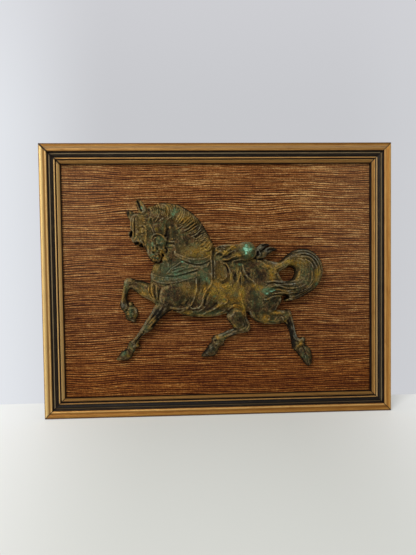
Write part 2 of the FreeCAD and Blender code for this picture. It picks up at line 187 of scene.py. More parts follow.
def blur(field, radius):
    """Gaussian blur of a 2-D field; radius is the standard deviation in cells."""
    reach = max(1, int(3 * radius))
    kernel = np.exp(-0.5 * (np.arange(-reach, reach + 1) / radius) ** 2)
    kernel /= kernel.sum()
    padded = np.pad(field, reach, mode="edge")
    rows = sum(k * padded[i:i + field.shape[0], :] for i, k in enumerate(kernel))
    return sum(k * rows[:, i:i + field.shape[1]] for i, k in enumerate(kernel))


NOISE_SIZE = 256            # the random values repeat after this many grains
TINY = 1e-6                 # keeps a division away from nought


def value_noise(u, v, seed):
    """Smooth random values from 0 to 1 on a plane, one grain per unit."""
    table = np.random.default_rng(seed).random((NOISE_SIZE, NOISE_SIZE))
    iu, iv = np.floor(u).astype(int), np.floor(v).astype(int)
    fu, fv = u - iu, v - iv
    fu, fv = fu * fu * (3 - 2 * fu), fv * fv * (3 - 2 * fv)
    iu, iv = iu % NOISE_SIZE, iv % NOISE_SIZE
    ju, jv = (iu + 1) % NOISE_SIZE, (iv + 1) % NOISE_SIZE
    near = table[iu, iv] * (1 - fu) + table[ju, iv] * fu
    far = table[iu, jv] * (1 - fu) + table[ju, jv] * fu
    return near * (1 - fv) + far * fv


# Relief sculpting

STEP = 0.47                 # cell of the sculpting grid
LOW = (-124.0, 50.0)        # the grid's corners, x and z
HIGH = (125.0, 252.0)
PARTING = -50.0             # height where there is no form
OUTSIDE = -9.0              # distance inside the outline, where there is no form
SKIN = 0.8                  # the least height that a pit leaves
DETAIL = 1.2                # how bold the ridges and grooves are
HAIR_STEP = 0.12            # spacing of the rows in which hair is laid
HAIR_POINTS = 300           # points along each of them


def curve(points, closed=False, pieces=6):
    """Points on a smooth curve through given ones; further columns are carried along."""
    p = np.asarray(points, dtype=float)
    if closed:
        p = np.vstack([p[-1:], p, p[:2]])
    else:
        p = np.vstack([2 * p[:1] - p[1:2], p, 2 * p[-1:] - p[-2:-1]])
    t = (np.arange(pieces) / pieces)[:, None]
    runs = []
    for a, b, c, d in zip(p[:-3], p[1:-2], p[2:-1], p[3:]):
        runs.append(0.5 * (2 * b + (c - a) * t + (2 * a - 5 * b + 4 * c - d) * t ** 2
                           + (3 * b - a - 3 * c + d) * t ** 3))
    line = np.vstack(runs)
    return line if closed else np.vstack([line, p[-2:-1]])


def even_rows(rows):
    """Rows of hair drawn out at even steps, and how far along each lies, from 0 to 1."""
    table = curve(rows, pieces=40)
    middle = (table[:, :2] + table[:, 2:]) / 2
    gone = np.concatenate([[0], np.cumsum(np.hypot(*np.diff(middle, axis=0).T))])
    even = np.linspace(0, gone[-1], int(gone[-1] / HAIR_STEP))
    return np.stack([np.interp(even, gone, column) for column in table.T], 1), even / gone[-1]


def strand_heights(over, along, count, lift, seed):
    """Heights of strands side by side, with finer ones on them; and which strand it is."""
    phase = over * count + 1.7 * (value_noise(over * count / 3.3, along + 5, seed) - 0.5)
    height = 0
    for times, share in ((1.0, 0.8), (2.3, 0.2)):
        edge = np.abs(2 * ((phase * times) % 1.0) - 1)
        height = height + share * np.sqrt(1 - edge ** 2)
    height *= lift * (0.5 + 0.8 * value_noise(phase * 0.8 + 7, along * 1.5 + 3, seed + 1))
    return height, phase


class Sculpt:
    """A relief on a grid: height in front of the board, how far inside the outline, and a layer
    of hair that lies on top."""

    def __init__(self):
        xs = np.arange(LOW[0], HIGH[0], STEP)
        zs = np.arange(LOW[1], HIGH[1], STEP)
        self.x, self.z = np.meshgrid(xs, zs, indexing="ij")
        self.height = np.full(self.x.shape, PARTING)
        self.inside = np.full(self.x.shape, OUTSIDE)
        self.layer = np.zeros(self.x.shape)
        self.uneven = value_noise(self.x / 4.5 + 90, self.z / 4.5 + 90, 11)
        self.broken = value_noise(self.x / 2.6 + 90, self.z / 2.6 + 90, 12)

    def window(self, line, margin):
        """The slice of the grid round a curve."""
        low = np.floor((line[:, :2].min(0) - margin - LOW) / STEP).astype(int)
        high = np.ceil((line[:, :2].max(0) + margin - LOW) / STEP).astype(int)
        low = np.maximum(low, 0)
        high = np.minimum(high, self.x.shape)
        return slice(low[0], high[0]), slice(low[1], high[1])

    def nearest(self, spot, line):
        """For each cell: distance to the curve, length along it, side, and carried values."""
        x, z = self.x[spot], self.z[spot]
        best = np.full(x.shape, np.inf)
        along = np.zeros(x.shape)
        side = np.zeros(x.shape)
        carried = [np.zeros(x.shape) for _ in range(line.shape[1] - 2)]
        start = 0.0
        for a, b in zip(line[:-1], line[1:]):
            run = b[:2] - a[:2]
            length = math.hypot(run[0], run[1])
            if length < TINY:
                continue
            px, pz = x - a[0], z - a[1]
            t = np.clip((px * run[0] + pz * run[1]) / length ** 2, 0, 1)
            gap = (px - t * run[0]) ** 2 + (pz - t * run[1]) ** 2
            closer = gap < best
            best[closer] = gap[closer]
            along[closer] = (start + t * length)[closer]
            side[closer] = (run[0] * pz - run[1] * px)[closer]
            for k, values in enumerate(carried):
                values[closer] = (a[2 + k] + t * (b[2 + k] - a[2 + k]))[closer]
            start += length
        return np.sqrt(best), along, np.sign(side), carried, start

    def signed(self, spot, outline):
        """Distance to a closed outline, positive inside."""
        loop = np.vstack([outline, outline[:1]])
        gap = self.nearest(spot, loop)[0]
        x, z = self.x[spot], self.z[spot]
        inside = np.zeros(x.shape, dtype=bool)
        for a, b in zip(loop[:-1], loop[1:]):
            if a[1] == b[1]:
                continue
            crosses = (a[1] > z) != (b[1] > z)
            inside ^= crosses & (x < (b[0] - a[0]) * (z - a[1]) / (b[1] - a[1]) + a[0])
        return np.where(inside, gap, -gap)

    def swell(self, outline, spine, edge, melt=0.0, hole=None, square=2.0):
        """A rounded form: its height runs from edge at the outline to the spine's own height.
        melt is how softly it joins what is there; square over 2 makes it flatter on top."""
        loop = curve(outline, closed=True)
        spot = self.window(loop, 3.0)
        inside = self.signed(spot, loop)
        if hole is not None:
            inside = np.minimum(inside, -self.signed(spot, curve(hole, closed=True)))
        gap, _, _, (crest,), _ = self.nearest(spot, curve(spine))
        share = gap / (gap + np.maximum(inside, TINY))
        form = edge + (crest - edge) * np.maximum(1 - share ** square, 0) ** (1 / square)
        form = np.where(inside > 0, form, PARTING)
        self.join(spot, form, melt)
        self.inside[spot] = np.maximum(self.inside[spot], inside)

    def join(self, spot, form, melt):
        """Set a form against what is there, the higher of the two, with a soft fillet."""
        old = self.height[spot]
        top = np.maximum(old, form)
        if melt > 0:
            near = np.maximum(melt - np.abs(old - form), 0) / melt
            top = top + np.where((old > PARTING) & (form > PARTING), melt * near ** 3 / 6, 0)
        self.height[spot] = top

    def soften(self, radius):
        """Blur the heights, inside the forms only."""
        there = self.height > PARTING
        weight = blur(there.astype(float), radius / STEP)
        filled = np.where(there, self.height, 0.0)
        smoothed = blur(filled, radius / STEP) / np.maximum(weight, TINY)
        self.height = np.where(there, smoothed, PARTING)

    def ridge(self, points, width, lift, taper=1.0):
        """A rounded ridge along a curve, or a groove where lift is negative. Its ends run out
        over taper times its width."""
        line = curve(points)
        spot = self.window(line, width * 1.6)
        gap, along, _, _, length = self.nearest(spot, line)
        fade = np.clip(np.minimum(along, length - along) / (taper * width), 0, 1) ** 0.5
        half = 0.42 * width * (0.65 + 0.7 * self.uneven[spot])
        profile = np.exp(-(gap / half) ** 1.5) * (0.55 + 0.8 * self.broken[spot])
        self.height[spot] += DETAIL * lift * fade * profile

    def ridges(self, table, taper=1.0):
        for points, width, lift in table:
            self.ridge(points, width, lift, taper)

    def pad(self, outline, lift, edge):
        """Raise the inside of an outline, with an edge that rounds down."""
        loop = curve(outline, closed=True)
        spot = self.window(loop, edge)
        inside = self.signed(spot, loop)
        share = np.clip(inside / edge, 0, 1)
        self.height[spot] += lift * np.sqrt(np.clip(1 - (1 - share) ** 2, 0, 1))

    def lock(self, points, width, lift, strands, depth):
        """A tapering lock of hair along a curve, with strand lines that run along it. Locks lie
        over each other until settle()."""
        line = curve(points)
        spot = self.window(line, width)
        gap, along, side, _, length = self.nearest(spot, line)
        t = np.clip(along / length * 0.9 + 0.1, 0, 1)
        half = width / 2 * np.sin(np.pi * t ** 0.8) ** 0.6
        across = side * gap / np.maximum(half, 0.12)
        body = np.sqrt(np.clip(1 - across ** 2, 0, 1))
        lines = 0.5 + 0.5 * np.cos(np.pi * across * strands)
        self.layer[spot] = np.maximum(self.layer[spot], body * (lift + depth * (lines - 1)))

    def comb(self, rows, count, lift, seed, bend=0.0, lengthwise=False):
        """Hair laid in strands side by side. Each row crosses from one point to another; the
        strands run along the rows, or from row to row if lengthwise. a goes from row to row and
        b along them, both from 0 to 1."""
        table, share = even_rows(rows)
        b = np.linspace(0, 1, HAIR_POINTS)[None, :]
        a = share[:, None] + 0 * b
        b = b + 0 * a
        start, run = table[:, None, :2], (table[:, 2:] - table[:, :2])[:, None, :]
        side = np.stack([-run[..., 1], run[..., 0]], -1)
        place = start + run * b[..., None] + side * (bend * np.sin(np.pi * b ** 0.8))[..., None]
        over, along = (b, a * 7) if lengthwise else (a, b * 1.6)
        height, phase = strand_heights(over, along, count, lift, seed)
        if lengthwise:
            fade = np.clip(a / 0.03, 0, 1) * np.clip((1 - a) / 0.05, 0, 1)
        else:
            tip = 0.8 + 0.3 * value_noise(phase * 1.1 + 30, along * 0 + 2, seed + 2)
            fade = np.clip((tip - b) / 0.12, 0, 1) * np.clip(b / 0.06 + 0.4, 0, 1)
        self.lay(place, height * fade)

    def lay(self, place, height):
        """Put hair in the layer: in each cell, the mean height of the points that fall in it."""
        i = np.rint((place[..., 0] - LOW[0]) / STEP).astype(int).ravel()
        k = np.rint((place[..., 1] - LOW[1]) / STEP).astype(int).ravel()
        total, hits = np.zeros(self.x.shape), np.zeros(self.x.shape)
        np.add.at(total, (i, k), height.ravel())
        np.add.at(hits, (i, k), 1)
        self.layer = np.maximum(self.layer, total / np.maximum(hits, 1))

    def settle(self):
        """Lay the locks on the forms under them."""
        self.height += np.where(self.height > PARTING, self.layer, 0)
        self.layer[:] = 0

    def roughen(self, grain, depth, seed):
        """Uneven cast skin: lumps about grain millimetres across."""
        lumps = value_noise(self.x / grain + 50, self.z / grain + 50, seed) - 0.5
        self.height += np.where(self.height > PARTING, 2 * depth * lumps, 0)

    def trench(self, points, width, depth):
        """A deep narrow hollow along a curve."""
        line = curve(points)
        spot = self.window(line, width * 1.5)
        pit = depth * np.exp(-(self.nearest(spot, line)[0] / (0.5 * width)) ** 3)
        old = self.height[spot]
        self.height[spot] = np.where(old > PARTING, np.maximum(old - pit, SKIN), old)

    def pebbles(self, outline, size, depth, seed):
        """Lumps and pits crowded inside an outline."""
        loop = curve(outline, closed=True)
        spot = self.window(loop, 1.0)
        share = np.clip(self.signed(spot, loop) / 1.5, 0, 1)
        lumps = value_noise(self.x[spot] / size + 80, self.z[spot] / size + 80, seed) - 0.45
        self.height[spot] += 2 * depth * share * lumps

    def hollow(self, x, z, width, height, depth):
        """A round pit, or a mound where depth is negative."""
        share = ((self.x - x) / width) ** 2 + ((self.z - z) / height) ** 2
        pit = depth * np.exp(-share ** 1.5)
        sunk = np.maximum(self.height - pit, SKIN)
        self.height = np.where(self.height > PARTING, sunk, PARTING)


# The horse, region by region

def sculpt_trunk(s):
    s.swell([(-63, 177), (-70, 175.7), (-74, 174.5), (-76.5, 168), (-78, 162.7), (-78.3, 156),
             (-80, 150), (-80, 144), (-77, 137.5), (-72, 131), (-64, 125), (-55, 122.2),
             (-46.7, 118), (-33.3, 113.9), (-20, 113), (-6.7, 113.3), (4, 115.5), (14, 118),
             (28, 118), (45, 112), (62, 119), (71, 133), (72, 150), (69.5, 166), (68.6, 174.9),
             (64.2, 175.3), (55.4, 178.3), (46.6, 180), (30, 182), (10, 183), (-4, 188),
             (-14, 190), (-30, 190), (-50, 188)],
            [(-72, 158, 10.5), (-60, 152, 13), (-45, 148, 14.4), (-20, 147, 14.6),
             (5, 147, 14.2), (30, 150, 13.4), (50, 152, 13.6), (62, 155, 12)],
            edge=4.5, square=2.3)


def sculpt_hindquarters(s):
    s.swell([(27, 160), (33, 171), (44, 177), (55, 176), (64, 172), (69, 163), (71.5, 150),
             (70.8, 138), (72.3, 132.5), (70.4, 127), (66.4, 122), (62, 110), (56, 104),
             (49, 104.8), (43, 107), (38, 110.8), (34, 115.5), (31, 121), (28.3, 129.5),
             (26, 138), (25.6, 148)],
            [(44, 163, 14), (48, 150, 15.2), (49, 137, 15.8), (49, 124, 15.3), (50, 114, 13)],
            edge=6, melt=3)
    s.swell([(60, 122.5), (66.3, 119.9), (72.8, 119.3), (77.5, 119.3), (80.8, 120.2),
             (83.6, 117.6), (84.2, 113.6), (84, 107), (81, 102), (77.9, 102.9), (74.7, 104.8),
             (67.2, 103.2), (58.3, 103.2), (50, 106), (47, 114)],
            [(52, 113, 13.5), (64, 111.5, 11.5), (74, 111.5, 10.2), (80, 111, 9)],
            edge=3.5, melt=1.5)
    s.swell([(77.5, 119.3), (80.8, 120.2), (83.6, 117.6), (84.3, 113.6), (86.3, 107.4),
             (87.7, 101.1), (88.7, 95.5), (90.1, 89.9), (91.5, 87), (94.8, 85.8), (97.5, 87.4),
             (100.6, 86), (100, 82.2), (100.5, 78), (103.8, 76.1), (106.5, 72.8), (107.8, 66.5),
             (107.9, 60), (106.7, 55.3), (103, 53.4), (99.7, 56.5), (96.1, 61.9), (92.2, 66.5),
             (89.4, 70.8), (86, 73.2), (84.9, 77), (84, 84.3), (82.6, 90.8), (80.3, 98),
             (77.4, 103.5), (75, 110)],
            [(79.5, 113, 9.5), (83, 103, 8.2), (85.3, 94, 7.6), (87.3, 86, 7.8), (91, 79, 8.8),
             (96, 71.5, 8), (101, 64, 8.6), (104.5, 57.5, 6.5)],
            edge=2.8, melt=1)
    s.swell([(10.3, 118), (8.8, 114), (9.4, 109.3), (13.2, 104.6), (16.4, 101), (20, 96.8),
             (27, 94.2), (32.8, 95), (35.9, 99), (35.7, 104), (33.4, 109.5), (32, 116),
             (28.6, 122.4), (22, 125.6), (15.4, 124.3)],
            [(20, 117, 15.4), (22, 109, 13.4), (26.5, 102.5, 11.4), (30.5, 99, 9.5)],
            edge=5, melt=0.6)
    s.swell([(36, 99.5), (33.6, 95.4), (29.9, 94), (24.3, 93), (16.8, 90.8), (11.2, 88.5),
             (6.8, 86.3), (5.2, 83.6), (5.5, 80.6), (2.8, 79), (0.2, 77.5), (-1.4, 74),
             (-3, 70.2), (-6.8, 67.7), (-14, 66.4), (-21, 66.8), (-19.6, 70.3), (-15.9, 74.9),
             (-12.1, 80.4), (-9.2, 84), (-8.9, 88.2), (-5.2, 91), (-0.9, 92.3), (5.6, 94.6),
             (12.1, 97.4), (17, 99.6), (22, 103), (30, 104.5)],
            [(31, 99, 9.4), (22, 96.7, 8.2), (12, 93, 7.6), (3, 89.6, 7.4), (-3, 86.3, 8.6),
             (-6, 80.5, 8), (-10, 74.5, 8.6), (-16, 69.2, 6)],
            edge=2.8, melt=1)


def sculpt_forelegs(s):
    s.swell([(-70, 150), (-79.4, 152.9), (-87.9, 155.7), (-93.6, 156.9), (-98, 158.3),
             (-102.2, 159.4), (-105.8, 158.7), (-108, 156.4), (-109, 152.2), (-109.7, 147.2),
             (-110.7, 142.2), (-111.8, 136.7), (-113, 132), (-113.2, 127.7), (-112.1, 123.6),
             (-109.4, 120.9), (-108, 118.8), (-107.7, 114.8), (-105.6, 111.4), (-101.5, 109.3),
             (-96.6, 107.6), (-95.5, 111.5), (-93.5, 115.6), (-93.4, 120.4), (-94.8, 124.3),
             (-97, 126.4), (-98.6, 129.8), (-101, 132), (-105, 132.4), (-105.6, 135.2),
             (-105, 140), (-103.6, 144), (-100.7, 146.5), (-96.5, 144.3), (-92.9, 141.5),
             (-87.2, 137.2), (-80.8, 134.3), (-70, 129)],
            [(-74, 142, 12.5), (-85, 146, 10.8), (-95, 150.7, 9.4), (-102.5, 153.3, 9.6),
             (-106.6, 149, 9), (-108.2, 139, 7.4), (-109.4, 130, 8.4), (-105.5, 125.5, 8),
             (-101.3, 119, 8.6), (-99.5, 112, 7)],
            edge=2.8, melt=2)
    s.swell([(-68.7, 133.3), (-72.7, 128.7), (-75.4, 124.8), (-78, 119.4), (-81, 114.4),
             (-84.8, 109.6), (-87.2, 105.1), (-90, 100.8), (-93, 96.3), (-96.5, 91.5),
             (-100.3, 87.5), (-104.2, 84.8), (-105.8, 81.6), (-107, 78), (-110.7, 75.7),
             (-113.8, 73.4), (-116.4, 69.4), (-118.9, 65.9), (-117, 64.4), (-110.7, 64.2),
             (-105, 65), (-101.6, 67.2), (-100, 70.3), (-98.6, 73.9), (-95.6, 78.4),
             (-91, 79.6), (-92.8, 83), (-92.7, 87.3), (-89.3, 91.5), (-85.1, 94.9),
             (-79.6, 97.4), (-76.5, 100.3), (-73.6, 104.6), (-69.4, 109.9), (-64.4, 114.4),
             (-59.4, 118.6), (-53, 124), (-50, 140), (-60, 146)],
            [(-57, 135, 15.4), (-65, 122.5, 13.4), (-72.5, 113.5, 11.8), (-79, 105.5, 11),
             (-84.5, 99, 9.6), (-90, 92, 7.8), (-95.5, 86, 7.6), (-99, 80.5, 8.6),
             (-104, 75.3, 7.8), (-109.5, 70, 8.4), (-115, 66.8, 6)],
            edge=3, melt=2.5)
    s.swell([(-67.5, 133), (-67.8, 141), (-66, 148), (-60, 152.5), (-51, 154), (-41, 151.5),
             (-35, 145), (-33.5, 136), (-37, 128), (-45, 123.5), (-54, 123), (-62, 127)],
            [(-55, 141, 16.2), (-48, 139, 16.4)], edge=11.5, melt=2.5)


def sculpt_neck(s):
    s.swell([(-78.7, 239.6), (-73.3, 241), (-65, 242.6), (-57, 242), (-47, 240.5), (-38, 236.5),
             (-30, 231), (-23, 224), (-17, 215), (-12.5, 206), (-8, 198), (-3, 190), (-8, 181),
             (-20, 176), (-35, 173.5), (-50, 174), (-63.3, 176.7), (-64, 184), (-61, 195),
             (-63, 212), (-70, 230)],
            [(-66, 232, 11.5), (-54, 222, 12.5), (-44, 208, 13.2), (-37, 193, 13.4),
             (-32, 180, 14.2)],
            edge=4.5, melt=2.5, square=2.2)
    s.swell([(-80, 239.4), (-73.3, 241), (-68, 242.8), (-63, 244), (-57, 243.6), (-51, 242.8),
             (-45, 241.6), (-41, 239.8), (-36.8, 237.3), (-33.4, 235), (-29.4, 232.3),
             (-26, 229), (-23, 226), (-20.5, 222.8), (-18.4, 219.6), (-16.2, 216.2),
             (-14, 212.6), (-12.2, 209), (-10.5, 205.4), (-9, 201.8), (-7, 198.4), (-6, 193),
             (-10, 189), (-16, 192), (-22, 198.5), (-27.6, 205.4), (-34, 210), (-41, 212.4),
             (-48, 218), (-54, 226), (-62, 234), (-71, 236)],
            [(-66, 239.6, 12.6), (-55, 236.4, 14.4), (-45, 230, 15.4), (-36, 222.5, 15.8),
             (-28, 213.5, 15.8), (-20, 204, 15.4), (-12, 195, 14)],
            edge=6, melt=1)


def sculpt_head(s):
    s.swell([(-98.6, 225.6), (-101.6, 226.6), (-103.4, 229.8), (-104.4, 232.8), (-104, 235.2),
             (-102.2, 236.6), (-99.8, 236.4), (-96.8, 234.6), (-94, 232)],
            [(-98.5, 229.4, 7.8), (-101.4, 233.6, 6.6)], edge=3.8)
    s.swell([(-73.3, 241), (-78.7, 239.4), (-82.3, 234), (-86, 232.5), (-91.8, 232.4),
             (-96.2, 231.5), (-99.4, 227), (-100, 220), (-99.8, 213.5), (-101.8, 210.6),
             (-102.3, 207), (-100, 204.8), (-99, 202.4), (-97.4, 199.8), (-95.4, 197.2),
             (-92, 195.8), (-88.6, 194.4), (-85.8, 194.2), (-84.5, 194.6), (-83.1, 191),
             (-81.5, 187.1), (-80, 183.2), (-77.8, 179.3), (-74.4, 176.7), (-71.4, 175.8),
             (-68.3, 176.6), (-65.9, 179.4),
             (-64.6, 183.6), (-60.3, 185.6), (-57.6, 190), (-57, 199), (-58, 210), (-57.6, 222),
             (-60, 231), (-66, 238)],
            [(-76, 233, 13.2), (-79.5, 222, 15), (-79, 209, 15.4), (-75.5, 197, 14.8),
             (-73, 187, 13), (-72, 180, 11)],
            edge=5.5, melt=0.5)
    s.swell([(-76, 224), (-80, 214), (-77, 203), (-70, 197), (-62, 195), (-58.2, 202),
             (-58.4, 213), (-60, 224), (-67, 229)],
            [(-69, 216, 16), (-67, 206, 15.8)], edge=11, melt=2.5)
    s.swell([(-79.8, 232.4), (-80, 235.8), (-81.6, 239.4), (-83.8, 242.8), (-86.4, 246.2),
             (-89.2, 248.2), (-91.9, 247.8), (-93.2, 244.8), (-92.2, 240.6), (-91, 236.6),
             (-89.6, 232.6), (-85.4, 230.6)],
            [(-84.6, 233, 14.4), (-86.6, 240, 12.4), (-89.6, 245.6, 9.4)], edge=6)


def sculpt_tail(s):
    s.swell([(60, 176), (68.6, 175), (71.5, 176.6), (75.5, 179.8), (80, 183.8), (85, 187),
             (90.5, 189.4), (96.5, 190.4), (102.5, 189.9), (108.5, 187.5), (113.2, 183.4),
             (117, 179), (119.4, 174), (120.4, 168.5), (120.3, 162.5), (119.3, 157),
             (117.2, 151.8), (113.5, 146.8), (109, 142.4), (103, 138.4), (97.3, 135.3),
             (91, 132.5), (85, 130.5), (80, 129.8), (75.6, 130), (76.4, 132.6), (79.4, 133.8),
             (76, 136.4), (70.8, 135.6), (66.4, 134.8), (60.5, 132.4), (53, 131.4),
             (46.5, 133.6), (43.5, 138.5), (46, 145), (52, 151.5), (58, 158), (59, 166)],
            [(64, 170, 11.5), (76, 174.8, 11.8), (86, 179, 12.4), (96.5, 179, 13.4),
             (105.5, 172, 14), (107, 161, 14.2), (101.5, 151, 14), (91, 144.5, 14),
             (80, 142.8, 14), (70, 143, 15), (60, 142.4, 16.2), (51, 139.5, 16.6)],
            edge=4, melt=0.8,
            hole=[(69, 163.4), (69.4, 163.9), (73, 165.4), (77, 167), (80, 169.6), (83, 170.2),
                  (86.2, 168.6), (88.2, 165.6), (88.4, 162), (87.2, 158.4), (84.6, 155),
                  (80, 153.5), (75.2, 153.2), (72.8, 155.8), (70.8, 159.6)])


def sculpt_saddle(s):
    s.swell([(-5, 187), (-4.2, 191), (-1.8, 193.4), (1.9, 195.2), (9.2, 196.3), (16.5, 196),
             (22, 196.2), (26.1, 197.8), (30.5, 199.1), (35, 199.2), (38.4, 197.8),
             (40.6, 195), (42.2, 192), (43.8, 188.6), (43, 182), (36, 177), (27, 174),
             (16, 172.5), (4, 174), (-4, 179)],
            [(-1, 186.5, 13.4), (8, 188, 14.8), (18, 188, 15.4), (30, 189.6, 16.6),
             (37, 190, 16.6), (41, 187.5, 15)],
            edge=6.5, melt=1.5)
    s.swell([(41.6, 189), (43.2, 191.6), (45.6, 193.8), (48.4, 196), (52.4, 196.9),
             (56, 196.5), (59, 195.2), (56.2, 193.7), (53.6, 192.2), (51.4, 190.2), (51, 188.6),
             (48, 186), (44, 184)],
            [(44, 189, 13), (49, 192.6, 11.4), (55.6, 195, 8)], edge=5.6)
    s.swell([(43, 186), (46.4, 187.4), (49.6, 187.6), (52, 189.8), (55.4, 191.9), (59.6, 193),
             (64, 192.2), (68.2, 189.8), (64.4, 188.2), (60.4, 186.2), (56.4, 183.2),
             (52, 180.2), (47, 178.4), (42.6, 179.4)],
            [(45, 184.6, 14.4), (50, 184.8, 12.6), (56.4, 188, 10.4), (65, 190, 7.4)],
            edge=5.6)


# Details of the horse: hair, harness, folds and features

# Each row joins a place on the mane's crest to where its hair ends: x, z, x, z.
MANE = [(-78, 238.5, -78, 224), (-70, 241.3, -73, 222), (-63, 243.2, -67, 222),
        (-56.5, 242.8, -59.5, 225), (-50, 241.8, -54.5, 223), (-44, 240, -51.5, 219),
        (-38.5, 237.2, -49.5, 216), (-33, 234, -47, 213.5), (-28, 230, -44, 211),
        (-24, 226.4, -41, 209.4), (-20.5, 222, -37.5, 208.4), (-17, 216.8, -33.5, 206),
        (-14, 211.6, -29, 202.6), (-11.8, 207, -25.5, 199), (-9.6, 201.4, -21, 193.4),
        (-7.4, 197.4, -14, 188)]

# Each row crosses the tail: its outer edge, then its inner one.
TAIL = [(64, 174.6, 61, 160), (71.5, 176.2, 70, 165), (80, 183.2, 77, 168),
        (90.5, 188.8, 82, 171), (102.5, 189.2, 86.5, 168.5), (112.8, 183, 88.8, 166),
        (118.8, 174, 89, 163), (119.6, 162.5, 88.6, 160.5), (116.6, 152.3, 87, 158),
        (108.6, 143, 84.5, 156), (97.3, 136, 80, 154.4), (86, 131.4, 75, 153.8),
        (76, 134.4, 69, 154), (66.4, 135.4, 61, 154.5), (53, 132.4, 53, 150),
        (45, 137, 46, 144)]


def sculpt_mane(s):
    s.comb(MANE, 38, 2.3, 301, bend=0.16)
    for points, width in [
            ([(-62.5, 241.5), (-58.5, 239.5), (-56.2, 235.5), (-56.6, 230.5), (-57.6, 226)], 2.4),
            ([(-24.5, 220.6), (-29, 217.4), (-34, 213.8), (-39, 211.6)], 1.7),
            ([(-23, 217.6), (-28, 214.4), (-32.6, 211.4), (-36, 210)], 1.7),
            ([(-26.6, 223.6), (-31, 220.4), (-36, 216.6), (-41, 214.6)], 1.7),
            ([(-21.6, 210.6), (-25, 207.6), (-28.6, 206)], 1.8),
            ([(-19, 206.8), (-22.6, 203.8), (-26, 202.6)], 1.7),
            ([(-31, 227.4), (-35, 223.6), (-40, 219.6), (-44, 218)], 1.8)]:
        s.lock(points, width, 3.9, strands=2, depth=0.3)
    s.settle()
    s.ridge([(-49, 219), (-47, 216.4), (-44.4, 213.6), (-41.4, 211), (-37.6, 210)], 1.6, 1.1)
    for points in ([(-25.6, 217.6), (-30, 214), (-34.6, 211.4)],
                   [(-25.4, 221.6), (-31, 217.4), (-36, 213.8)],
                   [(-29, 224.6), (-34, 220), (-39, 216.4)],
                   [(-20, 208.4), (-23.6, 205.4), (-27.4, 204)],
                   [(-39, 223.4), (-42.6, 219)]):
        s.ridge(points, 1.2, -1.4)
    for points in ([(-11, 203), (-16, 198), (-22, 194.6)],
                   [(-9.6, 199), (-15, 193.8), (-22, 190.4)],
                   [(-8.8, 195), (-14, 190.4), (-20, 187)],
                   [(-14, 205), (-20, 200), (-26, 197)]):
        s.ridge(points, 1.5, 0.9)


def sculpt_tail_hair(s):
    s.comb(TAIL, 9, 1.5, 311, lengthwise=True)
    for points, width in [
            ([(78, 183), (84, 186), (90, 187.6), (96, 188), (102, 187.2), (107, 185),
              (112, 181), (116, 175.6), (118.2, 169), (118.8, 161)], 2.0),
            ([(92, 185), (98, 185), (103, 183.8), (107.6, 181), (111.6, 176.6), (114.4, 171),
              (116, 164)], 1.7),
            ([(94, 181.6), (99, 181.4), (103.6, 179.4), (107.4, 176), (110.4, 171), (112.8, 165.6)],
             2.0),
            ([(98, 177.6), (102, 175.8), (105.6, 172), (107.4, 167)], 1.5),
            ([(55, 152.6), (62, 153.6), (70, 152), (77, 152.6), (85, 153.4), (91, 155)], 2.4),
            ([(55, 145.6), (61, 148), (69, 148), (77, 145.6), (85, 145.6), (92, 147)], 2.0),
            ([(56, 141.6), (65, 144.2), (74, 142.6), (85, 142.6)], 1.9),
            ([(60, 139.4), (69, 140.2), (80, 140), (90, 141)], 1.9),
            ([(62, 150.2), (70, 149.6), (80, 150), (90, 150.6)], 1.8)]:
        s.lock(points, width, 2.8, strands=1, depth=0.2)
    s.settle()
    for points, width in [
            ([(86, 185), (95, 186.4), (101, 185.8), (107, 183), (111, 179.4), (114.4, 174.4),
              (116.8, 167), (117.2, 160)], 1.2),
            ([(93, 183.2), (101, 182.4), (106, 179.8), (110, 175), (112.8, 168.6), (114, 163)],
             1.3),
            ([(96, 179), (101.6, 178), (106, 174), (109, 168.6)], 1.2),
            ([(62, 151.8), (69, 150.8), (75, 148.6), (85, 147.2)], 1.1),
            ([(58, 143.4), (66, 146.2), (76, 143.8), (88, 144)], 1.1),
            ([(60, 137.6), (70, 138.4), (80, 137.6)], 1.4)]:
        s.ridge(points, width, -1.4)
    s.ridges([
        ([(51, 152), (55.6, 154), (60, 154.6), (67, 153.6), (75, 153.2)], 3.0, 1.1),
        ([(54, 150.4), (60, 151.6), (67, 151.4), (74, 151)], 2.0, -1.2),
        ([(52, 146), (56.6, 148.4), (62, 149), (70, 149)], 1.8, 0.9),
        ([(58, 142.2), (66, 142), (76, 141.6), (86, 141)], 1.6, 0.9)])


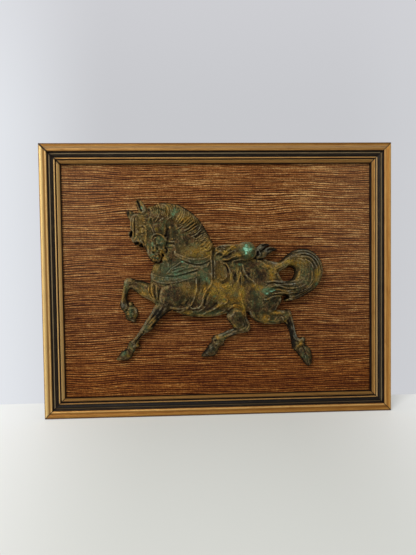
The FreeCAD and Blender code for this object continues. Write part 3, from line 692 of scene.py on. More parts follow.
def sculpt_face(s):
    s.ridges([
        ([(-92.4, 231.6), (-96, 230), (-98.4, 226.6), (-98.8, 220), (-98.9, 214)], 2.0, 1.3),
        ([(-95.6, 226.6), (-96.2, 220), (-96, 213), (-96.2, 207.6), (-97.6, 204)], 1.8, 1.5),
        ([(-94.2, 228), (-94.1, 220), (-94.2, 212), (-93.8, 204.6)], 1.4, -1.7),
        ([(-97.4, 226), (-97.5, 219), (-97.3, 213)], 1.0, -0.9),
        ([(-98.8, 204), (-96.4, 202.2), (-93.6, 203.6), (-92.2, 206.6)], 1.6, 1.1),
        ([(-90.6, 204.6), (-89.6, 201.4), (-86.4, 201.6)], 1.6, 1.0),
        ([(-89.6, 212.2), (-88.8, 214.8), (-86.6, 216.2), (-83.8, 216), (-82, 213.6)], 1.3, -1.3),
        ([(-89.4, 217), (-87, 218.2), (-83.4, 217.8), (-80.6, 215.4)], 1.7, 1.0),
        ([(-88, 209.6), (-85.4, 208.8), (-82.8, 209.8)], 1.2, -1.0),
        ([(-81.4, 213), (-80.8, 208.5), (-81.6, 204), (-82.6, 200.4), (-82, 195)], 2.2, 1.2),
        ([(-86.6, 207), (-84.6, 203.5), (-84.4, 198)], 1.6, -0.9),
        ([(-79.4, 210), (-79.4, 204), (-79.6, 199)], 1.4, -0.7),
        ([(-76.8, 219.6), (-74.8, 214.8), (-72.7, 209.8), (-71.2, 206.8)], 1.5, 1.4),
        ([(-74.2, 220.4), (-72.4, 215), (-70.4, 209.8)], 1.2, 0.9),
        ([(-75.6, 226.4), (-74.6, 222.4), (-73.4, 219)], 1.6, -1.2),
        ([(-84.6, 226), (-80, 225.4), (-76.8, 226.6)], 1.2, 0.8),
        ([(-84.8, 223.6), (-80, 222.8), (-76.6, 224)], 1.1, 0.8),
        ([(-84, 221.2), (-80, 220.4), (-77.4, 221.4)], 1.1, 0.8),
        ([(-83.6, 218.8), (-80, 218.2), (-78, 219)], 1.0, 0.6),
        ([(-92, 229.4), (-88, 230), (-84, 229)], 2.2, 0.7),
        ([(-87.6, 246), (-84.8, 242), (-82.6, 237.6), (-81.6, 234)], 1.3, 1.2),
        ([(-75.2, 202.6), (-74, 206.2), (-70.6, 208.2), (-67, 208.2), (-63, 205.8),
          (-59.8, 202.2), (-56, 200.1), (-49.6, 199.4)], 1.9, 1.7),
        ([(-57, 197.8), (-52, 197.4), (-49.4, 196.6)], 2.0, -1.4),
        ([(-56.6, 195.6), (-52, 195.2), (-49.4, 194.4)], 1.5, 0.7),
        ([(-57, 193.4), (-53, 193), (-50, 192.4)], 1.5, -0.9),
        ([(-57, 215), (-58.2, 210.6), (-59.8, 206.2)], 2.6, -1.4),
        ([(-61, 193.4), (-58.4, 190), (-59, 186.8)], 1.6, -2.2),
        ([(-79.6, 196), (-79.6, 190), (-78.4, 184.5)], 1.5, 0.8),
        ([(-71.4, 197.6), (-70.4, 193), (-68.4, 190)], 1.3, -1.3),
        ([(-78.4, 183.8), (-75.4, 182.4), (-73, 183)], 1.2, -1.3),
        ([(-68.4, 186.4), (-66.8, 183.8), (-67, 180.6)], 1.3, -1.4),
        ([(-65.6, 189), (-63.6, 186.4), (-61.8, 184.4)], 1.8, 0.9)], taper=0.6)
    s.pebbles([(-75.6, 190), (-76.4, 197), (-74.4, 203), (-70, 206.4), (-64.6, 204.6), (-60.4, 200),
               (-59.4, 194), (-61.6, 189), (-68, 189.6)], 2.3, 1.8, 81)
    s.pebbles([(-79, 184.4), (-75, 187.6), (-69, 188.4), (-65.6, 184), (-66.6, 178.6),
               (-71.6, 176), (-77, 178.6)], 1.6, 0.9, 82)
    s.pebbles([(-93, 201), (-93.4, 210), (-92, 217), (-85, 219.4), (-79, 217), (-79.6, 206),
               (-83, 198)], 2.1, 0.45, 83)
    s.pebbles([(-72, 209), (-74, 216), (-72, 228), (-62, 234), (-57.4, 228), (-58.6, 214),
               (-62, 207)], 2.4, 0.6, 84)
    s.trench([(-98.4, 211.4), (-98.8, 209), (-99.6, 206.8), (-100.8, 206.4)], 2.8, 12)
    s.trench([(-95.4, 198.2), (-93, 198.4), (-90.8, 198.8)], 2.3, 12)
    s.trench([(-89.6, 195.6), (-87.6, 197.4), (-86.8, 195.4)], 2.3, 12)
    s.trench([(-90.9, 245.4), (-89, 241.4), (-87.6, 237.6), (-86.4, 234.6)], 2.6, 3.4)
    s.trench([(-64.2, 186.4), (-62.8, 184.2)], 1.6, 5)
    for x, z, wide, high, depth in [
            (-73.6, 187.8, 1.5, 1.0, 2.4), (-77, 179.3, 1.3, 1.0, 3.4),
            (-71.6, 177.1, 1.6, 1.0, 3.4), (-101.6, 233, 1.2, 2.4, 1.4),
            (-59.8, 206.4, 1.2, 1.2, 3), (-76, 222, 1.4, 3, 0.9), (-85.3, 212.3, 1.8, 1.7, -0.5),
            (-66, 198, 3, 1.6, -0.7), (-73.6, 199, 1.6, 2.8, -0.8),
            (-72, 189.8, 1.2, 1.2, -1.0), (-74, 184, 1.8, 1.0, -0.8),
            (-69.4, 182.4, 1.8, 1.4, -0.8), (-61.4, 191, 1.6, 1.4, -0.9)]:
        s.hollow(x, z, wide, high, depth)


def sculpt_harness(s):
    s.pad([(-50, 189.4), (-47, 186.4), (-41, 184), (-35, 181.6), (-29, 180.6), (-20.6, 180.6),
           (-15.2, 181.8), (-10, 185), (-8.6, 181), (-9.8, 178.6), (-15.2, 175.6), (-23, 173.8),
           (-31.4, 175), (-39.2, 178), (-45, 180.8), (-50.4, 185)], 1.1, edge=0.9)
    s.pad([(-59.6, 163.3), (-55.3, 169.3), (-48.7, 173.3), (-41.7, 178), (-36.7, 175.4),
           (-30, 173.6), (-23.3, 172), (-16.7, 173.6), (-10.6, 176.4), (-12, 172), (-17.6, 169.4),
           (-22.7, 168), (-26, 167.3), (-34.7, 165), (-42, 162.7), (-50, 160.8)], 1.5, edge=0.8)
    s.pad([(-78.4, 164.7), (-73.3, 163.4), (-67.3, 161.2), (-62, 160.3), (-52, 159.6),
           (-43.3, 161.3), (-33.3, 163.5), (-25.4, 165.6), (-24.4, 161.6), (-26.7, 158.7),
           (-32, 157.3), (-39.3, 155.7), (-46.7, 153.7), (-54.7, 152.6), (-63.3, 152.6),
           (-70, 154), (-76, 157)], 1.5, edge=0.8)
    s.ridges([
        ([(-50, 188.2), (-41, 183.2), (-29, 179.9), (-20.6, 179.9), (-11, 183.6)], 1.3, 0.55),
        ([(-49, 184), (-40, 179.6), (-31.4, 176), (-23, 174.8), (-12, 177.6)], 1.2, 0.3),
        ([(-21.4, 180.8), (-21.2, 178.4)], 1.6, 0.8),
        ([(-58.4, 164.4), (-54.3, 169.2), (-48.5, 172.9), (-42, 177.2)], 1.6, 1.1),
        ([(-58, 164.4), (-51, 168.8), (-44, 170.6), (-37, 171.6)], 1.7, 1.1),
        ([(-54, 165.2), (-46, 167), (-38, 170), (-29, 171.6), (-21, 171.4)], 1.7, 0.9),
        ([(-51, 171), (-46, 172.4), (-42, 174.6)], 1.3, -0.8),
        ([(-55, 166.8), (-47, 168.8), (-39, 170.6)], 1.2, -0.9),
        ([(-50, 163.4), (-41, 166.6), (-33, 168.8), (-26, 169.6)], 1.3, -0.9),
        ([(-57, 162.8), (-49, 162), (-41, 163.8), (-33, 166), (-24, 168)], 1.5, 1.0),
        ([(-76.4, 160.8), (-67, 157.6), (-57, 156.6), (-46, 158), (-35, 160.8), (-27, 162.6)],
         1.5, 0.35),
        ([(-73, 158.6), (-65, 155.4), (-56, 154.6), (-46, 156), (-36, 158.4)], 1.4, -0.3),
        ([(-72, 161.8), (-64, 159.2), (-55, 158.2), (-47, 159.4)], 1.2, -0.25),
        ([(-26, 158.5), (-25.6, 150), (-26.2, 143.3), (-28, 136.7), (-30.4, 131.3),
          (-33.5, 126.9), (-38, 124.9), (-43.3, 123.6), (-48.7, 123.2)], 2.4, 1.7),
        ([(-10.4, 164), (-8.6, 158), (-8.6, 152.7), (-12, 147.3), (-16.7, 140.7),
          (-18.7, 134.7), (-20, 128.7), (-24, 124.9), (-30, 123.6), (-34, 125.6)], 2.6, 1.8),
        ([(-49, 120.9), (-44.7, 120), (-39.3, 122.5), (-34, 125)], 2.0, 1.2),
        ([(-32, 120.2), (-26.7, 119.5), (-19.3, 123), (-16, 126)], 2.0, 1.3),
        ([(-24.6, 115.8), (-20, 116), (-17, 117.6), (-14.2, 119.4), (-7.8, 121.8),
          (-4.4, 124), (-1.4, 126), (1.4, 128.2), (4, 130.4)], 2.6, 1.9),
        ([(4, 128), (7.2, 129.4), (9.2, 132.2), (7.8, 134.8), (5.2, 137.8)], 1.9, 1.4),
        ([(-12, 122.6), (-6.6, 127), (-2, 130.4)], 3.0, -1.1),
        ([(-8, 118), (0, 120.6), (6, 124.8), (10, 127.4)], 2.4, -1.0),
        ([(-4, 116.4), (2, 118.4), (7, 121.4)], 2.0, 0.7),
        ([(-31, 118.4), (-26.2, 122.4), (-21.6, 124.2), (-18, 126.8)], 1.7, 1.0),
        ([(2, 147.4), (8, 148.8), (15.6, 151)], 2.2, 0.7),
        ([(0, 153.6), (5, 152.4), (9, 154.4)], 2.4, -0.8),
        ([(-22.4, 159), (-22.2, 149), (-23.6, 140), (-26.6, 132)], 1.8, -0.9),
        ([(-13.5, 160), (-13.4, 153.6), (-17.4, 146.6), (-21.6, 139)], 1.8, -0.8),
        ([(-11, 142.6), (-14.8, 137), (-16.6, 131), (-17.4, 126)], 2.4, -1.2),
        ([(-9.2, 196.6), (-8.6, 187), (-8.8, 177), (-8.2, 167), (-8, 158)], 1.7, 1.3),
        ([(-5, 188), (-4.9, 178), (-4.8, 168), (-5.4, 158)], 1.5, 1.1),
        ([(-6.8, 190), (-6.7, 178), (-6.5, 166), (-6.8, 158)], 1.6, -0.5)], taper=0.7)
    for x, z, wide, high, depth in [(-18.6, 168.6, 3.4, 2.6, 0.9), (-23, 161.6, 1.7, 1.5, 0.9),
                                    (-19, 163.5, 2.4, 2.4, 0.8), (-14, 170.6, 2.2, 2.0, 0.7),
                                    (-17.4, 156, 2.4, 5.4, 0.9), (-13, 157.4, 2, 3.4, 0.8)]:
        s.hollow(x, z, wide, high, -depth)


def sculpt_muscles(s):
    s.ridges([
        ([(-80, 148.7), (-79.6, 142), (-76.7, 136.7), (-73.3, 132)], 2.0, 1.1),
        ([(-75.9, 152.7), (-76.4, 144.7), (-74.3, 137.3), (-72, 132.7)], 2.0, 1.3),
        ([(-71, 151.3), (-70.8, 143.3), (-70, 136)], 1.9, 1.3),
        ([(-78.2, 150), (-78.2, 143), (-75.5, 137)], 1.2, -1.2),
        ([(-73.4, 152), (-73.6, 144), (-72.2, 136.4)], 1.4, -1.7),
        ([(-69, 133.6), (-68.4, 141), (-66.4, 146.4), (-62, 150), (-55, 151.6)], 2.0, -1.4),
        ([(-88, 143.4), (-84, 140.4), (-80, 138.6)], 2.2, 1.0),
        ([(-64, 176), (-66.6, 170.6), (-66.4, 164.6)], 2.2, -1.2),
        ([(-62, 183), (-58, 176), (-57, 170)], 3.4, 0.8),
        ([(-52, 186), (-53.4, 179), (-54, 173)], 2.6, -0.8),
        ([(-52.4, 170.4), (-48, 172.8), (-43.6, 175.6)], 1.4, 1.0),
        ([(-47.4, 168.8), (-40, 169), (-31, 170)], 1.3, 0.7),
        ([(-55, 218), (-54, 208), (-51, 199)], 4.4, 0.9),
        ([(-47.6, 213), (-47, 204), (-47.4, 195), (-44.6, 188)], 3.4, -0.9),
        ([(-42.6, 207), (-39, 199), (-36, 190)], 4.0, 0.6),
        ([(-31, 203), (-31.4, 196), (-28, 187)], 2.6, -0.6),
        ([(-36.6, 150), (-37.6, 142), (-41, 133)], 3.0, -0.6),
        ([(-58, 129), (-50, 126.6), (-40, 128), (-35, 133)], 3.4, -1.3),
        ([(24.6, 164.4), (25.4, 156), (25, 148)], 1.6, 0.9),
        ([(23.2, 143), (24, 138), (25, 132.6), (26.6, 127), (28.6, 121.6), (31, 117.6)],
         2.9, 1.9),
        ([(9.6, 121), (13.8, 124.8), (18.4, 127), (23.4, 127.8)], 2.2, 1.0),
        ([(24, 150), (23.6, 140), (25.6, 130), (28.4, 122)], 2.4, -0.6),
        ([(29.4, 160), (29, 150), (30, 141)], 2.2, -0.8),
        ([(11, 127.4), (17, 128), (23, 127)], 2.2, -1.2),
        ([(43.6, 177), (48, 176.2), (52.4, 173), (56, 171), (60, 169.2), (64.6, 166.8)],
         2.3, 1.2),
        ([(45, 171.4), (51, 168), (55.6, 164.8), (58.6, 162.8)], 3.0, -1.1),
        ([(27, 173.4), (27.5, 168.4), (29.6, 163.4), (32.4, 158.8), (35.4, 156.2),
          (39.4, 153), (41.2, 149)], 2.0, 1.4),
        ([(25.4, 168), (27.4, 161.6), (30.4, 156.4), (34, 153)], 1.8, -0.9),
        ([(33.6, 166), (34.2, 160.6)], 2.4, -1.1),
        ([(38, 166), (39.4, 160.6), (38.6, 156)], 2.6, -0.7),
        ([(35.8, 170), (36.4, 163), (36, 158)], 1.8, 0.5),
        ([(66.4, 163.8), (67.8, 159.8), (70.4, 155.6)], 1.5, 0.9),
        ([(49.6, 132.6), (55.4, 134), (60, 136.2), (64, 137.4), (68.4, 136.6), (70.2, 134),
          (68.4, 130.4)], 1.5, 1.3),
        ([(58, 132), (62, 134), (66, 133.4)], 3.0, -0.8),
        ([(54.6, 115.4), (57.2, 113), (55.6, 109.6), (50.6, 109.4)], 1.8, 1.0),
        ([(35, 141), (34.4, 130), (37, 119)], 3.4, -0.7),
        ([(60, 133), (64, 129.6), (66, 124.6)], 2.0, -0.7),
        ([(40, 113), (49, 109.6), (56, 109)], 2.4, -0.7),
        ([(56, 121), (60, 117.6), (68, 117), (76, 117.2)], 2.2, 1.0),
        ([(60, 114.6), (68, 113.4), (77, 114)], 1.6, -0.8),
        ([(55, 110.5), (62, 107.6), (70, 107.8)], 3, 0.7),
        ([(62, 107), (66, 112.6), (72, 112), (74, 107)], 1.6, 0.7)], taper=0.8)
    for x, z, wide, high, depth in [(18, 139, 5, 5.4, 0.9), (66, 108.4, 4, 3, 0.7),
                                    (8, 146, 10, 6, 0.7), (-4, 140, 8, 7, 0.5),
                                    (45, 158, 8, 7, 0.8), (-40, 145, 6, 7, 0.5)]:
        s.hollow(x, z, wide, high, -depth)
    for x, z, wide, high, depth in [(76.5, 135.6, 3.2, 1.8, 8), (33.4, 113.4, 1.6, 3.8, 9),
                                    (67, 131, 3.6, 2.6, 0.8), (-5, 129, 6, 4.6, 0.8)]:
        s.hollow(x, z, wide, high, depth)


def sculpt_seat(s):
    for outline, lift, edge in [
            ([(-3.3, 181), (-4.4, 170), (-3.2, 160), (-0.3, 156.2), (4, 154.6), (8, 156.6),
              (9.6, 161.6), (9, 168), (7, 173.4), (4, 178)], 1.0, 2.2),
            ([(-2, 189.8), (-1.2, 192.8), (3, 194.2), (9, 194.5), (13.4, 193.8), (9.6, 190.8),
              (5.8, 188), (2, 189)], -1.7, 1.4),
            ([(-3, 183.6), (-1.4, 186), (1.6, 186.4), (4.4, 184.6), (2.4, 182), (-1, 181.4)],
             -1.4, 1.6),
            ([(3.4, 180.4), (5.2, 183.2), (9, 184), (13.6, 187), (18, 188), (14, 183.2),
              (9, 180.8)], -1.4, 2.0),
            ([(12.4, 174.4), (15.6, 175.6), (20, 174.4), (21.4, 170), (19.4, 165.6),
              (15.4, 165.4), (13, 169)], 0.9, 1.6),
            ([(18.6, 164.4), (20.2, 160), (19.6, 155), (17.6, 153.4), (15.8, 157), (16.4, 161.8)],
             -1.4, 1.2),
            ([(27.6, 186), (28.6, 192.4), (32, 196.6), (37, 195.8), (40, 190.6), (39.4, 184.4),
              (35.6, 180.4), (30.4, 181)], 0.9, 4.0),
            ([(42.4, 185.6), (43.8, 188), (45.8, 186.8), (46.4, 184), (45, 182), (43, 182.6)],
             -1.6, 1.2)]:
        s.pad(outline, lift, edge)
    s.ridges([
        ([(-4, 188.6), (-3, 192), (-0.4, 194.4), (5, 195.6), (11, 195.8), (17, 195.4)],
         1.3, 0.9),
        ([(-0.8, 190.5), (1.4, 191.5), (4, 192), (7.4, 190.6)], 1.1, 1.4),
        ([(-3.4, 189.2), (0, 189.5), (3.7, 189.6), (7.4, 187.8)], 1.3, 1.5),
        ([(-4.6, 182.6), (-3, 186), (0.2, 187.6), (3.2, 187.3), (5, 185.2)], 1.4, 1.6),
        ([(4.8, 184.2), (7.6, 187), (10.6, 189.7), (14, 192.2), (17.4, 194.6), (20.8, 196.6)],
         1.9, 2.3),
        ([(20.8, 196.6), (26, 198), (31, 198.4), (36, 197.2), (39.4, 194), (41.6, 191)],
         1.3, 0.7),
        ([(10.6, 185.6), (12.4, 184.8), (13.6, 185.8)], 1.6, -1.3),
        ([(3.4, 178.3), (7.6, 178.5), (12, 179.5), (15, 181.4), (19, 182.4)], 1.5, 1.6),
        ([(6, 176.6), (12, 177.1), (17, 178.5), (23, 180.2)], 2.3, -1.5),
        ([(14, 175.6), (19.9, 177.8), (25, 178.4), (31, 177.8)], 1.4, 1.0),
        ([(20, 186), (23.4, 190), (26, 194.6)], 2.6, -0.7),
        ([(18, 183.6), (22, 183), (25.6, 183.6)], 2.2, 0.8),
        ([(4.4, 175), (7.8, 174.4), (10.2, 171.4), (12.2, 167), (12.6, 163)], 1.6, 1.5),
        ([(5.4, 173.2), (8.6, 170.4), (10, 166.4), (10.5, 162.6)], 2.4, -1.2),
        ([(15.4, 167), (16.4, 165.8)], 1.5, -1.3),
        ([(20.4, 174.8), (21.8, 172.4), (21.6, 166.6), (20.8, 164)], 1.2, 0.9),
        ([(22.9, 172), (23, 168), (22.2, 163.4)], 1.4, -1.4),
        ([(14.2, 164.4), (13.2, 160), (13.2, 155.6)], 1.4, 1.0),
        ([(24.8, 165), (23.2, 160), (21.6, 155), (20.6, 152.6)], 1.4, 1.2),
        ([(24.6, 160), (23.8, 155), (24, 151)], 1.4, -1.0),
        ([(-2.6, 158.4), (0, 156.4), (4, 156), (7.4, 158.6), (8.4, 162)], 1.6, 0.5),
        ([(1.6, 159), (3.4, 159)], 1.4, -1.1),
        ([(42.2, 183.4), (41.8, 187), (43.6, 189), (46, 187.6), (46.9, 184), (45.4, 181.4)],
         1.2, 1.5),
        ([(42.4, 190.6), (45, 193.4), (48.2, 195.6), (52.2, 196.3)], 1.3, 1.1),
        ([(49.4, 186.8), (52, 189.3), (55.2, 191.3), (59.2, 192.2), (62, 191.8)], 1.4, 1.3),
        ([(49, 193.6), (53, 194.9), (57, 195.2)], 2.2, -1.4),
        ([(55, 188.6), (59.4, 190.2), (64.6, 190.4)], 2.6, -1.6),
        ([(48, 185), (49.4, 185.6)], 1.6, -1.6),
        ([(43, 178.6), (46.6, 180.6), (50.6, 181.6)], 1.4, 0.6)], taper=0.7)
    s.pebbles([(26, 184), (27, 192), (31, 197), (37, 196), (41, 190), (40, 183), (35, 178.6),
               (29, 179.6)], 2.0, 0.8, 85)
    s.pebbles([(28, 186), (29, 191), (33, 193), (35, 189), (33, 184)], 1.2, 0.45, 86)


def sculpt_limbs(s):
    s.ridges([
        ([(-99, 156), (-104, 156.6), (-107, 153)], 2.4, 0.7),
        ([(-99.6, 152), (-103.6, 150), (-106, 144), (-107.4, 136)], 1.7, -0.8),
        ([(-107.6, 150), (-109, 140), (-110.6, 131)], 1.5, 0.7),
        ([(-105, 133), (-103.6, 127.6), (-105, 123.6), (-107.6, 120.4)], 1.8, -2.0),
        ([(-103.4, 127.6), (-100, 126.8), (-97.4, 128.2)], 1.4, -1.8),
        ([(-107.6, 123.4), (-103.6, 122), (-98.8, 123)], 1.4, -0.9),
        ([(-106, 118), (-102, 118.6), (-97.6, 118.6)], 1.6, 0.8),
        ([(-104.4, 114), (-100.6, 112.6), (-97.6, 114.4)], 1.2, -0.7),
        ([(-80, 146.6), (-88, 150), (-96, 152.6)], 2.2, -0.7),
        ([(-70.5, 130), (-76, 121), (-81.4, 112.5), (-86.4, 104.6), (-92, 96.8),
          (-97.4, 89.8), (-101.4, 86)], 1.7, 0.9),
        ([(-85.4, 98.4), (-89.6, 93), (-93.6, 88), (-97, 84.4)], 1.9, -2.4),
        ([(-83, 95.8), (-87.6, 92), (-91.4, 88)], 1.5, 0.9),
        ([(-83.6, 103), (-87.4, 100.6), (-92, 94.6), (-97, 89)], 1.7, 1.0),
        ([(-72, 116.2), (-76.6, 111.8), (-80, 107)], 1.3, 1.1),
        ([(-74.4, 117), (-78, 112.6)], 1.5, -1.8),
        ([(-69, 113.2), (-75, 106.4), (-77.6, 102.8)], 1.5, -2.0),
        ([(-74, 109.6), (-77.6, 105.8), (-80.2, 101.6)], 1.3, 1.2),
        ([(-66, 129), (-72, 120), (-78, 112), (-82.6, 106)], 2.4, -0.6),
        ([(-101, 125), (-98, 125), (-95.6, 123.4), (-94.8, 119)], 1.3, 0.8),
        ([(-105, 121), (-105.4, 116), (-103, 112.6)], 1.2, -0.6),
        ([(-100.6, 120), (-100.2, 115), (-98, 111)], 1.2, -0.6),
        ([(29, 118), (32, 112), (34, 105), (33.8, 100)], 1.4, 0.8),
        ([(27.6, 115), (30.4, 109), (32, 102)], 1.3, -0.8),
        ([(17, 98.4), (9, 95.8), (1, 92.8), (-5, 90.4)], 1.4, 0.6),
        ([(99, 67), (101.6, 62), (103.6, 57.6)], 1.4, 0.6),
        ([(96.4, 70), (98, 65), (100.6, 60)], 1.2, -0.6),
        ([(-62, 127.6), (-68, 118), (-73, 110.6)], 2.4, -1.0),
        ([(-77, 110), (-82, 104), (-86.6, 100.6)], 1.6, -0.8),
        ([(-80, 101.4), (-83.6, 102.6), (-86.4, 104.8)], 2.2, 0.8),
        ([(-84, 98), (-88.6, 97), (-91, 98.6)], 1.8, 0.7),
        ([(-87.6, 95), (-92.6, 90), (-97, 86.4)], 1.3, -0.8),
        ([(-90, 97), (-95.4, 91), (-100, 86.6)], 1.3, 0.6),
        ([(-97, 83.6), (-99.4, 85.6)], 2.6, 0.7),
        ([(-94, 80.6), (-96, 82.4), (-98.4, 80.8)], 2.0, 0.8),
        ([(-98.4, 76.4), (-102, 79.6), (-105.6, 79.4)], 1.6, 0.9),
        ([(-101.4, 73.2), (-105, 77), (-108.4, 77)], 1.2, -0.9),
        ([(-104, 69), (-110, 72.6), (-114, 72.4)], 1.4, -0.4),
        ([(12.6, 114), (17, 119.6), (24, 120), (28, 115)], 2.0, 0.7),
        ([(13, 108.6), (18, 104.6), (25, 103)], 1.8, -0.7),
        ([(29.6, 110), (30, 104.6), (28, 100)], 1.8, -0.9),
        ([(30, 112), (32.4, 107), (33.6, 102), (30.6, 98)], 1.6, 1.1),
        ([(27.6, 109), (28.6, 104), (27, 101)], 1.8, -1.5),
        ([(-5, 91.6), (0, 94.6), (6, 97.2), (14, 99.4)], 1.5, 0.9),
        ([(14.4, 95.4), (9, 93.4), (3, 90.6)], 1.6, -1.2),
        ([(-1.4, 86.6), (-4.6, 85.8), (-7, 86.4)], 1.8, -1.1),
        ([(27, 98.6), (20, 96.6), (13, 94)], 1.3, 0.6),
        ([(28, 101), (20, 99), (11, 95.4), (4, 92)], 1.2, -0.8),
        ([(4, 90.6), (0, 88.6), (-3, 87)], 2.2, 0.7),
        ([(0.6, 80.6), (-2.4, 82.6), (-5.4, 81)], 2.0, 0.8),
        ([(-3.4, 77.6), (-7.6, 79.4), (-11, 77)], 1.5, 0.5),
        ([(-5, 73.6), (-9.4, 76.4), (-13.4, 74)], 1.2, -0.3),
        ([(80.6, 117), (83, 110.6), (85.4, 103)], 1.6, 0.7),
        ([(78.6, 109), (80.4, 103.6), (82.8, 96), (85, 88.6), (86.6, 82)], 2.4, -2.2),
        ([(83.4, 111.6), (85, 105), (86.6, 98.6), (88.4, 91.6), (91.4, 88.4), (96, 89)],
         1.5, 1.3),
        ([(86.4, 85.6), (88.6, 83.6), (92, 83)], 1.6, -1.4),
        ([(92.6, 83.6), (95.6, 81), (96, 76.6)], 1.8, 0.8),
        ([(95.6, 79), (98.6, 72), (101, 64), (102.6, 58)], 1.4, -1.0),
        ([(87, 83), (91, 83.6), (96, 85)], 2.6, 0.7),
        ([(88.4, 76.4), (92.6, 80), (98, 80.6)], 1.5, 0.9),
        ([(90.4, 74), (95, 77), (100, 77.6)], 1.2, -0.9),
        ([(97, 65), (101, 69.6), (105, 71)], 1.4, -0.4)], taper=0.8)
    for x, z, wide, high, depth in [(-100.8, 130.2, 1.8, 1.7, -1.2), (19.5, 112, 5, 5.4, -0.8),
                                    (-84.6, 101, 3.2, 3.4, -0.7), (-108, 127.4, 2.8, 2.8, -0.5),
                                    (78, 112.6, 3.2, 3, -0.5)]:
        s.hollow(x, z, wide, high, depth)


def build_forms():
    s = Sculpt()
    for region in (sculpt_trunk, sculpt_hindquarters, sculpt_forelegs, sculpt_neck,
                   sculpt_saddle, sculpt_tail, sculpt_head):
        region(s)
    s.soften(0.55)
    for region in (sculpt_mane, sculpt_harness, sculpt_muscles, sculpt_seat, sculpt_limbs,
                   sculpt_face, sculpt_tail_hair):
        region(s)
    s.roughen(5.5, 0.28, 21)
    s.roughen(2.3, 0.2, 22)
    s.soften(0.3)
    s.roughen(1.1, 0.06, 23)
    return s


# Patches of colour on the casting: x, z, half width, half height, amount.
VERDIGRIS = [
    (31.4, 194, 1.5, 1.2, 1.3), (29.8, 190, 2.0, 1.9, 1.2), (33.4, 189.4, 1.8, 1.2, 1.0),
    (30.4, 185.6, 1.9, 1.8, 1.0), (33, 188.6, 6, 7.4, 1.15), (-101, 120, 4, 6, 0.5),
    (-110, 72, 5, 4, 0.3), (-102, 80, 3, 3, 0.45), (-30, 119, 12, 3, 0.35), (100.5, 64, 3, 4, 0.6),
    (-106, 148, 3, 7, 0.4), (-85, 103, 3, 4, 0.35), (88, 116, 4, 3, 0.4), (-74, 186, 5, 4, 0.4),
    (24, 190, 5, 3, 0.3), (37.8, 182.6, 1.2, 1.5, 0.9), (36.4, 190, 1.2, 2.2, 0.5),
    (-86.2, 238.4, 1.3, 1.6, 2.2), (-84, 235, 1.4, 2, 0.6), (-71, 219.7, 1.2, 0.9, 1.4),
    (-41.1, 177.1, 1.9, 0.9, 1.5), (54.3, 139.9, 2.4, 1.1, 1.25), (58, 142, 1.6, 1.0, 1.3),
    (62, 143.4, 1.8, 0.8, 1.0), (50, 143, 5, 3, 0.7), (57, 144, 5, 3, 0.4),
    (75, 172, 4.4, 1.4, 0.8), (105.4, 166.6, 1.3, 2.4, 0.6), (112.4, 149.4, 1.8, 2.4, 0.75),
    (-98, 76, 1.3, 1.3, 1.8), (100.6, 78, 2, 1.4, 0.55), (2.4, 87.6, 1.8, 1.8, 0.8),
    (-76.8, 184.6, 1.1, 1.0, 1.2), (-74.4, 185.6, 1.1, 0.8, 1.0), (-69.3, 181.8, 1.0, 0.8, 1.1),
    (-74.4, 197, 1.4, 3.6, 1.1), (-62.6, 197.6, 1.4, 0.9, 1.0), (-64.2, 192, 1.2, 0.9, 0.9),
    (-67, 199, 5, 5, 0.45), (-52, 228.8, 3, 4, 0.85), (-49, 235, 4, 4, 0.8), (-66, 202, 5, 4, 0.3),
    (-48, 162.5, 5, 2.6, 0.5), (-57, 161, 2, 1.6, 0.6), (-38, 159.4, 9, 2.4, 0.5),
    (-58, 157, 16, 3, 0.34), (-22, 177, 12, 2.6, 0.3), (-13.6, 157, 1.4, 2.6, 1.0),
    (-11, 153.6, 1.3, 3.4, 0.8), (-18.4, 156, 2.2, 5.4, 0.4), (-5.6, 137.6, 1.8, 1.3, 0.9),
    (6, 133.6, 1.5, 1.5, 0.8), (16.6, 139.5, 2.4, 3.6, 0.5), (23.6, 172.6, 2.8, 2.2, 0.7),
    (-1, 129.5, 1.7, 1.2, 0.6), (26, 157, 1.0, 3.4, 0.5), (61, 107.4, 5, 1.8, 0.7),
    (-8, 92, 3, 1.4, 0.6), (5.6, 92.3, 3, 1.3, 0.7), (40, 140, 5, 4, 0.35),
    (-46, 167, 24, 8, 0.58), (-16, 164, 7, 11, 0.32), (-62, 176, 7, 7, 0.3), (26, 168, 8, 8, 0.3),
    (-8, 117, 16, 4, 0.45), (-38, 232, 5, 5, 0.3), (65, 145, 14, 4, 0.3), (-83, 101, 4, 4, 0.4),
    (-110, 74, 3, 3, 0.5), (95.6, 67.8, 2, 4, 0.6), (88, 82, 4, 5, 0.3),
    (5.6, 86.4, 2.4, 1.8, 0.9), (-107, 73, 3, 3, 0.4), (-104, 152, 3, 4, 0.35),
    (-99, 121, 4, 6, 0.3), (8, 115, 4, 4, 0.3), (60, 146, 8, 3, 0.35), (112, 149, 4, 3.4, 0.3)]
